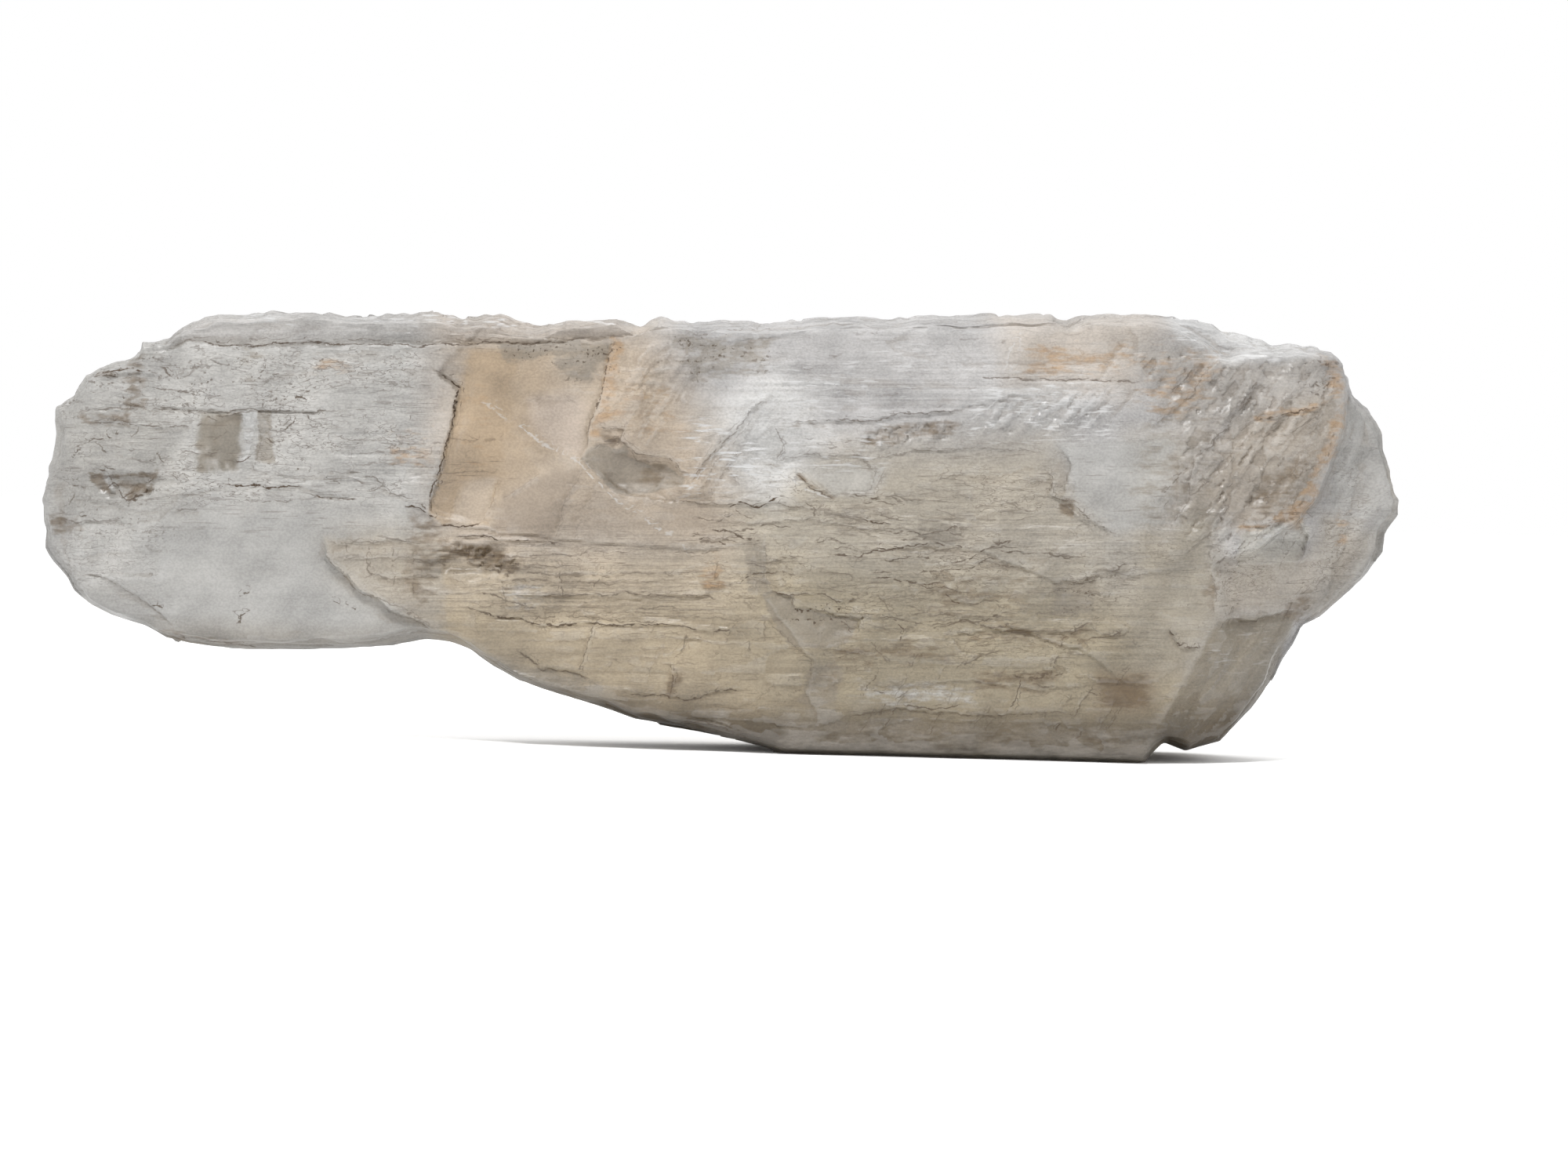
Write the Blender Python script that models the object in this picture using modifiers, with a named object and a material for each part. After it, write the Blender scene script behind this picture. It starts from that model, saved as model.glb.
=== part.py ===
"""A tabular selenite crystal, broken free along its cleavage, standing on the flat of its long lower edge.

Metres, +Z up. X runs along the crystal, and its broad front face looks along -Y. The outline and the
breaks are given in pixels of the photograph, which place() turns into metres on the crystal.
"""

import math

import bpy
import numpy as np

# Driving dimensions
PIXEL = 0.0004  # what one pixel of the photograph spans, so that the crystal is 0.70 m long
BASE_LEFT = (1000, 955)  # the flat that the crystal stands on, in the photograph
BASE_RIGHT = (1452, 966.8)
BASE_FLAT = 0.0012  # whatever is lower than this is levelled with the base
RIM_SHARE = 0.56  # how much of the crystal's depth is left at its edge
RIM_WIDTH = 0.011  # over which its faces roll off to the edge
LEAST_DEPTH = 0.011  # from the middle plane to either face
CROWN = 0.007  # how far the faces draw back from CROWN_LEVEL down to the ground
CROWN_LEVEL = 0.15  # the height at which they stand out most
VOXEL = 0.0032  # grid of the plain slab that the shaping starts from
SLAB_HALF = 0.025  # half its thickness
TRIANGLES = 9600

# The crystal's edge, clockwise from the notch at its lower left
LEFT_END = [
    (84, 738), (66, 718), (54, 700), (50, 668), (48, 640), (52, 610), (61, 575), (64, 540), (67, 515),
    (87, 500), (97, 488), (108, 474), (124, 463), (160, 451), (172, 444), (178, 430), (214, 426),
    (224, 414), (244, 403),
]
TOP_EDGE = [
    (282, 394), (340, 392), (420, 394), (470, 398), (520, 396), (560, 393), (592, 397), (640, 396),
    (662, 407), (692, 411), (722, 402), (760, 399), (788, 399), (814, 412), (842, 399), (862, 404),
    (930, 406), (1000, 404), (1070, 399), (1140, 401), (1200, 397), (1280, 395), (1342, 396),
    (1356, 404), (1376, 397), (1410, 393), (1470, 395), (1520, 401), (1548, 407), (1562, 419),
    (1600, 427), (1625, 434), (1672, 435), (1700, 443),
]
RIGHT_END = [
    (1716, 458), (1726, 482), (1733, 502), (1752, 522), (1764, 546), (1769, 575), (1779, 608),
    (1790, 636), (1787, 658), (1770, 680), (1766, 705), (1740, 740), (1714, 764), (1686, 788),
    (1660, 800), (1650, 822), (1634, 846), (1622, 872), (1598, 906), (1578, 926), (1556, 948),
    (1510, 958), (1484, 949), (1466, 957),
]
LOWER_LEFT = [
    (975, 949), (930, 940), (860, 928), (810, 919), (760, 902), (700, 884), (660, 870), (625, 850),
    (600, 832), (575, 822), (545, 818), (500, 826), (440, 830), (370, 832), (300, 831), (240, 823),
    (212, 816), (185, 801), (140, 787), (112, 772), (92, 755),
]
OUTLINE = LEFT_END + TOP_EDGE + RIGHT_END + [BASE_RIGHT, BASE_LEFT] + LOWER_LEFT

# The two broad faces. `profile` is how far the face stands off the middle plane along the crystal:
# pixel across, depth. At each of `ledges` a cleavage sheet ends: the face falls on the right of the
# line, as it is drawn, over `width`, and comes back to its level over `reach`, and the ledge fades over
# `fade` of the line at either end. `hollows` are dents: middle and half size in pixels, turn in degrees.
# At each of `facets` the face falls away on the right of the line, at `slope`.
FRONT = dict(
    profile=[(48, 0.018), (110, 0.026), (300, 0.031), (560, 0.038), (760, 0.047), (1100, 0.052),
             (1470, 0.054), (1600, 0.050), (1700, 0.038), (1790, 0.024)],
    ledges=[
        # the terrace under the top edge
        dict(line=[(1350, 413), (1150, 411), (1000, 412), (850, 415), (800, 426), (700, 436), (600, 434),
                   (500, 436), (360, 441), (235, 436), (196, 446)],
             fall=0.007, reach=0.05, fade=0.03),
        # the broken edge of the sheet over the tan panel
        dict(line=[(545, 655), (558, 612), (568, 570), (585, 500), (553, 476)],
             fall=0.0035, reach=0.05, fade=0.05),
        # the ridge between the tan body and the pale lobe, and on along the lower edge
        dict(line=[(408, 672), (415, 715), (450, 742), (475, 765), (520, 790), (566, 815), (620, 842)],
             fall=0.011, reach=0.06, width=0.003),
        # the undercut below the grey upper sheet
        dict(line=[(960, 545), (1110, 534), (1200, 524), (1290, 506), (1420, 486)],
             fall=0.006, reach=0.022),
        # the broken rim of the upper right mass
        dict(line=[(1540, 712), (1600, 700), (1650, 662), (1676, 636), (1697, 600), (1708, 560),
                   (1721, 520), (1727, 470)],
             fall=0.013, reach=0.07, width=0.004, fade=0.08),
        # the crumbled shoulder at the upper right
        dict(line=[(1712, 462), (1640, 448), (1590, 457), (1556, 463), (1530, 440), (1475, 412),
                   (1390, 404)],
             fall=0.020, reach=0.2, width=0.010),
        # the smooth grey plate at the right
        dict(line=[(1345, 560), (1366, 592), (1350, 640), (1388, 668), (1400, 690)],
             fall=0.003, reach=0.03),
        # the boundary between the tan plates and the middle of the crystal
        dict(line=[(960, 745), (1010, 812), (1040, 850), (1042, 945)], fall=0.004, reach=0.03),
        # the slanting break at the right of the tan panel
        dict(line=[(786, 417), (777, 453), (768, 497), (754, 537), (748, 575), (738, 600)],
             fall=0.0025, reach=0.02),
        # the shelf in the middle
        dict(line=[(990, 620), (940, 636), (850, 640), (790, 625), (752, 590)],
             fall=0.0035, reach=0.02),
        # cracks along the tan body
        dict(line=[(540, 668), (620, 676), (760, 690), (880, 700), (990, 694)],
             fall=0.003, reach=0.015),
        dict(line=[(600, 752), (720, 760), (840, 764), (960, 752)], fall=0.0025, reach=0.012),
        # edges of sheets on the pale lobe
        dict(line=[(70, 528), (170, 521), (312, 522), (446, 524)], fall=0.0025, reach=0.02),
        dict(line=[(186, 640), (279, 620), (388, 622), (455, 638)], fall=0.0025, reach=0.02),
        # edges of sheets at the right
        dict(line=[(1130, 695), (1244, 698), (1345, 740), (1440, 726)], fall=0.003, reach=0.02),
        dict(line=[(1180, 812), (1290, 802), (1378, 826), (1450, 880)], fall=0.003, reach=0.02),
    ],
    hollows=[
        dict(at=(805, 605), half=(66, 34), turn=-8, depth=0.005),
        dict(at=(600, 712), half=(62, 22), turn=-8, depth=0.006),
        dict(at=(160, 618), half=(42, 24), turn=0, depth=0.004),
        dict(at=(288, 560), half=(40, 44), turn=0, depth=0.003),
        dict(at=(1068, 790), half=(40, 26), turn=0, depth=0.003),
        dict(at=(1625, 742), half=(64, 44), turn=20, depth=0.006),
    ],
    facets=[
        dict(line=[(1458, 960), (1549, 790)], slope=0.50),
        dict(line=[(1700, 800), (1725, 400)], slope=0.35),
        dict(line=[(110, 500), (230, 850)], slope=0.22),
    ],
    seed=41,
)
BACK = dict(
    profile=[(48, 0.013), (110, 0.017), (300, 0.021), (560, 0.028), (760, 0.042), (1000, 0.056),
             (1200, 0.061), (1480, 0.061), (1620, 0.048), (1710, 0.032), (1790, 0.018)],
    ledges=[
        # the long sheet along the top, which ends in a step down towards the middle
        dict(line=[(120, 536), (240, 524), (400, 534), (560, 528), (720, 540), (880, 518), (1010, 530),
                   (1150, 515), (1300, 520), (1440, 498), (1560, 512), (1660, 500)],
             fall=0.009, reach=0.09, fade=0.05),
        # two stubs of sheets below it
        dict(line=[(300, 655), (430, 662), (560, 646), (640, 640), (690, 600), (700, 545)],
             fall=0.005, reach=0.05),
        dict(line=[(930, 690), (1060, 706), (1210, 700), (1300, 652), (1420, 640), (1500, 590)],
             fall=0.006, reach=0.05),
        # the low edge of the thick body
        dict(line=[(760, 800), (900, 850), (1050, 872), (1180, 880), (1300, 842), (1440, 850),
                   (1580, 800)],
             fall=0.007, reach=0.06),
        # a chipped corner at the thick end
        dict(line=[(1690, 640), (1620, 700), (1600, 780)], fall=0.008, reach=0.05),
    ],
    hollows=[
        dict(at=(760, 640), half=(120, 30), turn=8, depth=0.006),
        dict(at=(1290, 748), half=(150, 34), turn=-6, depth=0.006),
    ],
    facets=[
        dict(line=[(1530, 960), (1660, 560)], slope=0.50),
        dict(line=[(1700, 520), (1250, 450)], slope=0.35),
        dict(line=[(560, 780), (1000, 900)], slope=0.60),
        dict(line=[(120, 560), (300, 850)], slope=0.25),
    ],
    seed=51,
)

# Roughness of the broken surfaces
SWELLS = [((0.120, 0.060, 0.045), 0.0030), ((0.036, 0.020, 0.014), 0.0012)]  # size of a wave, height
PLATES = [(0.110, 0.020, 1.0), (0.041, 0.0074, 0.5)]  # length and height of a cleavage plate, weight
PLATE_LEVELS = 1.6
PLATE_STEP = 0.0014
JAG = (0.009, 0.0016)  # how the ledges wander from their lines: size of a lump, distance
HOLLOW_WOBBLE = 0.35  # how uneven the edge of a dent is
HOLLOW_WALL = 2.4  # how steep its wall is
CRUMBLES = [(0.030, 0.006), (0.011, 0.003)]  # how the broken edge is eaten back: size of a lump, depth
CRUMBLE_REACH = 0.010  # how far in from the edge that reaches
NORMAL_BLEND = 0.005  # over which the edge's direction is evened out round its corners
SNAP = VOXEL * 0.55  # points closer than this to a ledge move onto it


def smooth(t):
    t = np.clip(t, 0, 1)
    return t * t * (3 - 2 * t)


def place(pixels):
    """Turns pixels of the photograph into metres on the crystal, with its base flat on the ground."""
    p = np.array(pixels, float).reshape(-1, 2)
    along = (p[:, 0] - BASE_LEFT[0]) * PIXEL
    up = (BASE_LEFT[1] - p[:, 1]) * PIXEL
    lean = math.atan2(BASE_RIGHT[1] - BASE_LEFT[1], BASE_RIGHT[0] - BASE_LEFT[0])
    return np.c_[along * math.cos(lean) - up * math.sin(lean), along * math.sin(lean) + up * math.cos(lean)]


def centred(pixels):
    """place(), with the middle of the outline at X = 0."""
    edge = place(OUTLINE)[:, 0]
    return place(pixels) - np.array([(edge.min() + edge.max()) / 2, 0])


def nearest(line, xz, closed=False):
    """Distance to a line, its side (positive on its right), the share passed and the way to its right."""
    ends = np.vstack([line, line[:1]]) if closed else line
    best = np.full(len(xz), np.inf)
    side = np.zeros(len(xz))
    share = np.zeros(len(xz))
    normal = np.zeros((len(xz), 2))
    lengths = np.linalg.norm(np.diff(ends, axis=0), axis=1)
    before = np.r_[0, np.cumsum(lengths)]
    for n, length in enumerate(lengths):
        way = (ends[n + 1] - ends[n]) / length
        from_start = xz - ends[n]
        passed = np.clip(from_start @ way, 0, length)
        distance = np.linalg.norm(from_start - passed[:, None] * way, axis=1)
        right = np.array([way[1], -way[0]])
        normal += np.exp(-distance / NORMAL_BLEND)[:, None] * right
        closer = distance < best
        best = np.where(closer, distance, best)
        side = np.where(closer, np.sign(from_start @ right), side)
        share = np.where(closer, (before[n] + passed) / before[-1], share)
    return best, side, share, normal / np.maximum(np.linalg.norm(normal, axis=1), 1e-12)[:, None]


def lattice_noise(points, seed):
    """Smooth noise between -1 and 1, from hashed values on a unit lattice."""
    cell = np.floor(points).astype(int)
    part = smooth(points - cell)
    total = np.zeros(len(points))
    for corner in np.ndindex(2, 2, 2):
        at = cell + np.array(corner)
        mixed = (at[:, 0] * 73856093) ^ (at[:, 1] * 19349663) ^ (at[:, 2] * 83492791) ^ (seed * 2654435761)
        value = ((mixed * 1103515245 + 12345) >> 8 & 0xFFFF) / 32767.5 - 1
        total += value * np.prod(np.where(corner, part, 1 - part), axis=1)
    return total


def flat_noise(xz, length, height, seed):
    """lattice_noise over a broad face, with lumps of this length and height."""
    return lattice_noise(np.c_[xz[:, 0] / length, np.full(len(xz), 0.5), xz[:, 1] / height], seed)


def jagged(xz):
    """The points moved a little to and fro, so that straight lines come out broken."""
    size, distance = JAG
    return xz + distance * np.c_[flat_noise(xz, size, size, 21), flat_noise(xz, size, size, 22)]


def ledge_fall(xz, line, fall, reach, width=0.0005, fade=0.2):
    distance, side, share, _ = nearest(centred(line), jagged(xz))
    ends = smooth(share / fade) * smooth((1 - share) / fade)
    return fall * ends * smooth((distance * side - SNAP) / width) * np.exp(-distance / reach)


def hollow_fall(xz, at, half, turn, depth):
    off = (jagged(xz) - centred(at)) / PIXEL
    c, s = math.cos(math.radians(turn)), math.sin(math.radians(turn))
    along = (off[:, 0] * c + off[:, 1] * s) / half[0]
    across = (off[:, 1] * c - off[:, 0] * s) / half[1]
    wobble = HOLLOW_WOBBLE * lattice_noise(np.c_[along, across, np.full(len(xz), at[0])], 31)
    return depth * smooth(HOLLOW_WALL * (1 + wobble - np.hypot(along, across)))


def facet_fall(xz, line, slope):
    start, end = centred(line)
    way = (end - start) / np.linalg.norm(end - start)
    return slope * np.maximum((xz - start) @ np.array([way[1], -way[0]]), 0)


def profile_depth(xz, profile):
    """The depth along the crystal, eased from one given place to the next."""
    across = centred([(pixel, BASE_LEFT[1]) for pixel, _ in profile])[:, 0]
    stop = np.clip(np.searchsorted(across, xz[:, 0]), 1, len(across) - 1)
    part = smooth((xz[:, 0] - across[stop - 1]) / (across[stop] - across[stop - 1]))
    values = np.array([value for _, value in profile])
    return values[stop - 1] + (values[stop] - values[stop - 1]) * part


def plates(xz, seed):
    """Low cleavage plates, long along the crystal, each one step from the next."""
    level = sum(weight * flat_noise(xz, length, height, seed + n)
                for n, (length, height, weight) in enumerate(PLATES))
    return np.round(level * PLATE_LEVELS) * PLATE_STEP


def face_depth(xz, profile, ledges, hollows, facets, seed):
    """How far a broad face stands off the middle plane, before its rim is rolled off."""
    depth = profile_depth(xz, profile) + plates(xz, seed)
    depth -= CROWN * ((xz[:, 1] - CROWN_LEVEL) / CROWN_LEVEL) ** 2
    depth -= sum(ledge_fall(xz, **ledge) for ledge in ledges)
    depth -= sum(hollow_fall(xz, **hollow) for hollow in hollows)
    depth -= sum(facet_fall(xz, **facet) for facet in facets)
    return np.maximum(depth, LEAST_DEPTH)


def snapped(xz, ledges):
    """The points, with the ones close to a ledge moved onto it, so that its edge is clean."""
    moved = xz.copy()
    for ledge in ledges:
        distance, side, _, right = nearest(centred(ledge["line"]), jagged(xz))
        moved -= (distance * side * (distance < SNAP))[:, None] * right
    return moved


def swell(points):
    return sum(height * lattice_noise(points / np.array(size), 11 + n)
               for n, (size, height) in enumerate(SWELLS))


def crumble(points):
    return sum(depth * (1 + lattice_noise(points / size, 5 + n)) / 2
               for n, (size, depth) in enumerate(CRUMBLES))


def plain_slab():
    """The crystal's outline as a slab of one thickness, on an even grid."""
    curve = bpy.data.curves.new("outline", "CURVE")
    curve.dimensions = "2D"
    curve.fill_mode = "BOTH"
    curve.extrude = SLAB_HALF
    spline = curve.splines.new("POLY")
    edge = centred(OUTLINE)
    spline.points.add(len(edge) - 1)
    for point, (x, z) in zip(spline.points, edge):
        point.co = (x, z, 0, 1)
    spline.use_cyclic_u = True
    drawn = bpy.data.objects.new("outline", curve)
    drawn.rotation_euler.x = math.pi / 2
    bpy.context.collection.objects.link(drawn)
    grid = drawn.modifiers.new("grid", "REMESH")
    grid.mode = "VOXEL"
    grid.voxel_size = VOXEL
    bpy.context.view_layer.update()
    graph = bpy.context.evaluated_depsgraph_get()
    mesh = bpy.data.meshes.new_from_object(drawn.evaluated_get(graph))
    mesh.transform(drawn.matrix_world)
    bpy.data.objects.remove(drawn)
    return mesh


def shape(mesh):
    """Moves the slab's points out to the crystal's two broad faces and roughens its broken edge."""
    p = np.zeros(len(mesh.vertices) * 3)
    mesh.vertices.foreach_get("co", p)
    p = p.reshape(-1, 3)
    xz = p[:, [0, 2]]
    share = np.clip(p[:, 1] / SLAB_HALF, -1, 1)
    front = share < 0
    rim, _, _, inward = nearest(centred(OUTLINE), xz, closed=True)
    roll = RIM_SHARE + (1 - RIM_SHARE) * np.sqrt(smooth(rim / RIM_WIDTH))
    depth = np.where(front, face_depth(xz, **FRONT), face_depth(xz, **BACK)) * roll
    p[:, 1] = depth * share
    p[:, 1] += swell(p) * np.sign(share) * smooth(rim / RIM_WIDTH)
    clean = np.where(front[:, None], snapped(xz, FRONT["ledges"]), snapped(xz, BACK["ledges"]))
    p[:, [0, 2]] = np.where((rim > RIM_WIDTH / 2)[:, None], clean, xz)
    eaten = crumble(p) * share**2 * np.exp(-rim / CRUMBLE_REACH) * smooth(xz[:, 1] / CRUMBLE_REACH)
    p[:, [0, 2]] += inward * eaten[:, None]
    p[:, 2] = np.where(p[:, 2] < BASE_FLAT, 0, p[:, 2])
    mesh.vertices.foreach_set("co", p.ravel())
    mesh.update()


def selenite():
    material = bpy.data.materials.new("selenite")
    material.use_nodes = True
    shader = material.node_tree.nodes["Principled BSDF"]
    shader.inputs["Base Color"].default_value = (0.60, 0.56, 0.49, 1)
    shader.inputs["Roughness"].default_value = 0.35
    shader.inputs["Metallic"].default_value = 0.0
    shader.inputs["IOR"].default_value = 1.52
    return material


def centre(crystal):
    """Stands the crystal on the ground with the middle of its box over the origin."""
    bpy.context.view_layer.update()
    graph = bpy.context.evaluated_depsgraph_get()
    points = np.array([vertex.co for vertex in crystal.evaluated_get(graph).data.vertices])
    low, high = points.min(0), points.max(0)
    crystal.location = (-(low[0] + high[0]) / 2, -(low[1] + high[1]) / 2, -low[2])


def build():
    for old in list(bpy.data.objects):
        bpy.data.objects.remove(old)
    collection = bpy.data.collections.new("selenite crystal")
    bpy.context.scene.collection.children.link(collection)
    mesh = plain_slab()
    shape(mesh)
    mesh.materials.clear()
    mesh.materials.append(selenite())
    crystal = bpy.data.objects.new("selenite_crystal", mesh)
    collection.objects.link(crystal)
    fewer = crystal.modifiers.new("fewer faces", "DECIMATE")
    fewer.ratio = TRIANGLES / (2 * len(mesh.polygons))
    centre(crystal)


build()
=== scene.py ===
"""The selenite crystal as it looks: one milky, see-through slab with stepped cleavage plates, a crumbled
top edge, cracks, ribs and tan and brown stains.

The crystal takes the place of its CAD solid. It has the solid's outline and follows its main forms, on a
finer grid. Most breaks of its front are lower than the solid's and its edge is rolled off less, and the
small breaks are added. Everything that is placed by the photograph is given in its pixels: seen() finds
where the camera's ray through a pixel meets a plane of the crystal.
"""

import math
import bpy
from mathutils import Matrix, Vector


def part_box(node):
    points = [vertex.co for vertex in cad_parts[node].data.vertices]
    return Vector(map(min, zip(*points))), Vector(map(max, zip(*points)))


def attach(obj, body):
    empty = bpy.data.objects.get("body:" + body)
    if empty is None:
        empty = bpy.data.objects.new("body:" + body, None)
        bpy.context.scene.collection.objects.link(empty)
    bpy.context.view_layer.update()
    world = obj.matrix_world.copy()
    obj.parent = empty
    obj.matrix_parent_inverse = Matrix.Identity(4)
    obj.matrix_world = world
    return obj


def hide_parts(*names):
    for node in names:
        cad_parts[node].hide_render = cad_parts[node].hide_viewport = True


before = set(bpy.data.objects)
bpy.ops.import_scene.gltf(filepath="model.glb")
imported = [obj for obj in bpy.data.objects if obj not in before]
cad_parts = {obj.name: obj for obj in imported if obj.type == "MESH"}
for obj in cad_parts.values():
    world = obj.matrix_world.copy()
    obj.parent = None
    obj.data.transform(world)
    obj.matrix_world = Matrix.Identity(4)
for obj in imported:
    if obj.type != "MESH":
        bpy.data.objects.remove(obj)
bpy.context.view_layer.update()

from types import SimpleNamespace

import bpy
import numpy as np
from mathutils import Matrix, Vector

NODE = "selenite_crystal"
MM = 1000  # millimetres in a metre

# The crystal's frame, as in the CAD model
PIXEL = 0.0004  # metres that a pixel of the photograph spans
BASE_LEFT = (1000, 955)
BASE_RIGHT = (1452, 966.8)
BASE_FLAT = 0.0012  # what is lower than this is flat on the ground
LEAN = math.atan2(BASE_RIGHT[1] - BASE_LEFT[1], BASE_RIGHT[0] - BASE_LEFT[0])

# Its faces and its edge, which is rolled off less than the CAD model's
RIM_SHARE = 0.70  # of the depth, which is left where a broad face meets the edge
RIM_WIDTH = 0.004
LEAST_DEPTH = 0.011  # from the middle plane to either face
CROWN = 0.007  # how much less a broad face stands out at the ground than at CROWN_LEVEL
CROWN_LEVEL = 0.15

# Resolution
VOXEL = 0.00115
SLAB_HALF = 0.025  # half the thickness of the slab that is shaped
TRIANGLES = 196000
SMOOTH_BELOW = math.radians(38)  # edges sharper than this stay sharp

# Camera, which looks at the crystal as the photograph does
IMAGE = (2000, 1500)
DISTANCE = 2.4  # of the camera from the plane where the silhouette lies
ELEVATION = math.radians(2)
FRAME_WIDTH = IMAGE[0] * PIXEL  # what the frame spans at that plane
RIM_PLANE = -0.004  # Y of the plane where the silhouette lies
FRONT_PLANE = -0.045  # Y of the plane where the front's pixels are placed

LEFT_END = [
    (84, 738), (66, 718), (54, 700), (50, 668), (48, 640), (52, 610), (61, 575), (64, 540), (67, 515),
    (87, 500), (97, 488), (108, 474), (124, 463), (160, 451), (172, 444), (178, 430), (214, 426),
    (224, 414), (244, 403),
]
TOP_EDGE = [
    (282, 394), (340, 392), (420, 394), (470, 398), (520, 396), (560, 393), (592, 397), (640, 396),
    (662, 407), (692, 411), (722, 402), (760, 399), (788, 399), (814, 412), (842, 399), (862, 404),
    (930, 406), (1000, 404), (1070, 399), (1140, 401), (1200, 397), (1280, 395), (1342, 396),
    (1356, 404), (1376, 397), (1410, 393), (1470, 395), (1520, 401), (1548, 407), (1562, 419),
    (1600, 427), (1625, 434), (1672, 435), (1700, 443),
]
RIGHT_END = [
    (1716, 458), (1726, 482), (1733, 502), (1752, 522), (1764, 546), (1769, 575), (1779, 608),
    (1790, 636), (1787, 658), (1770, 680), (1766, 705), (1740, 740), (1714, 764), (1686, 788),
    (1660, 800), (1650, 822), (1634, 846), (1622, 872), (1598, 906), (1578, 926), (1556, 948),
    (1510, 958), (1484, 949), (1466, 957),
]
LOWER_LEFT = [
    (975, 949), (930, 940), (860, 928), (810, 919), (760, 902), (700, 884), (660, 870), (625, 850),
    (600, 832), (575, 822), (545, 818), (500, 826), (440, 830), (370, 832), (300, 831), (240, 823),
    (212, 816), (185, 801), (140, 787), (112, 772), (92, 755),
]
OUTLINE = LEFT_END + TOP_EDGE + RIGHT_END + [BASE_RIGHT, BASE_LEFT] + LOWER_LEFT

# The main forms of the two broad faces. The back's are the CAD model's own, and most of the front's are
# lower than there. A ledge's face falls on the right of its line, as it is drawn; a facet's falls away on
# the right of its line at a slope.
FRONT = dict(
    profile=[(48, 0.018), (110, 0.026), (300, 0.031), (560, 0.038), (760, 0.047), (1100, 0.052),
             (1470, 0.054), (1600, 0.050), (1700, 0.038), (1790, 0.024)],
    ledges=[
        # the terrace under the top edge
        dict(line=[(1350, 413), (1150, 411), (1000, 412), (850, 415), (800, 426), (700, 436), (600, 434),
                   (500, 436), (360, 441), (235, 436), (196, 446)],
             fall=0.005, reach=0.05, fade=0.03),
        # the broken edge of the sheet over the tan panel
        dict(line=[(545, 655), (558, 612), (568, 570), (585, 500), (553, 476)],
             fall=0.003, reach=0.05, fade=0.05),
        # the ridge between the tan body and the pale lobe, and on along the lower edge
        dict(line=[(408, 672), (415, 715), (450, 742), (475, 765), (520, 790), (566, 815), (620, 842)],
             fall=0.0045, reach=0.06, width=0.0016),
        # the undercut below the grey upper sheet
        dict(line=[(960, 545), (1110, 534), (1200, 524), (1290, 506), (1420, 486)],
             fall=0.0012, reach=0.022, fade=0.3),
        # the broken rim of the upper right mass
        dict(line=[(1540, 712), (1600, 700), (1650, 662), (1676, 636), (1697, 600), (1708, 560),
                   (1721, 520), (1727, 470)],
             fall=0.009, reach=0.07, width=0.004, fade=0.08),
        # the crumbled shoulder at the upper right
        dict(line=[(1712, 462), (1640, 448), (1590, 457), (1556, 463), (1530, 440), (1475, 412),
                   (1390, 404)],
             fall=0.014, reach=0.2, width=0.008),
        # the smooth grey plate at the right
        dict(line=[(1345, 560), (1366, 592), (1350, 640), (1388, 668), (1400, 690)],
             fall=0.002, reach=0.03),
        # the boundary between the tan plates and the middle of the crystal
        dict(line=[(960, 745), (1004, 800), (1038, 846), (1030, 880), (1044, 908), (1036, 945)],
             fall=0.0010, reach=0.03),
        # the slanting break at the right of the tan panel
        dict(line=[(786, 417), (777, 453), (768, 497), (754, 537), (748, 575), (738, 600)],
             fall=0.0025, reach=0.02),
        # the shelf in the middle
        dict(line=[(990, 620), (940, 636), (850, 640), (790, 625), (752, 590)],
             fall=0.002, reach=0.02),
        # cracks along the tan body
        dict(line=[(540, 668), (620, 676), (760, 690), (880, 700), (990, 694)],
             fall=0.0015, reach=0.015),
        dict(line=[(600, 752), (720, 760), (840, 764), (960, 752)], fall=0.0012, reach=0.012),
        # edges of sheets on the pale lobe
        dict(line=[(70, 528), (170, 521), (312, 522), (446, 524)], fall=0.0012, reach=0.02),
        dict(line=[(186, 640), (279, 620), (388, 622), (455, 638)], fall=0.0012, reach=0.02),
        # edges of sheets at the right
        dict(line=[(1130, 695), (1244, 698), (1345, 740), (1440, 726)], fall=0.0014, reach=0.02),
        dict(line=[(1180, 812), (1290, 802), (1378, 826), (1450, 880)], fall=0.0014, reach=0.02),
    ],
    hollows=[
        dict(at=(805, 605), half=(66, 34), turn=-8, depth=0.003),
        dict(at=(600, 712), half=(62, 22), turn=8, depth=0.004),
        dict(at=(160, 618), half=(42, 24), turn=0, depth=0.004),
        dict(at=(288, 560), half=(40, 44), turn=0, depth=0.003),
        dict(at=(1068, 790), half=(40, 26), turn=0, depth=0.001),
    ],
    facets=[
        dict(line=[(1458, 960), (1549, 790)], slope=0.42),
        dict(line=[(1700, 800), (1725, 400)], slope=0.35),
        dict(line=[(110, 500), (230, 850)], slope=0.22),
    ],
    seed=41,
)
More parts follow.
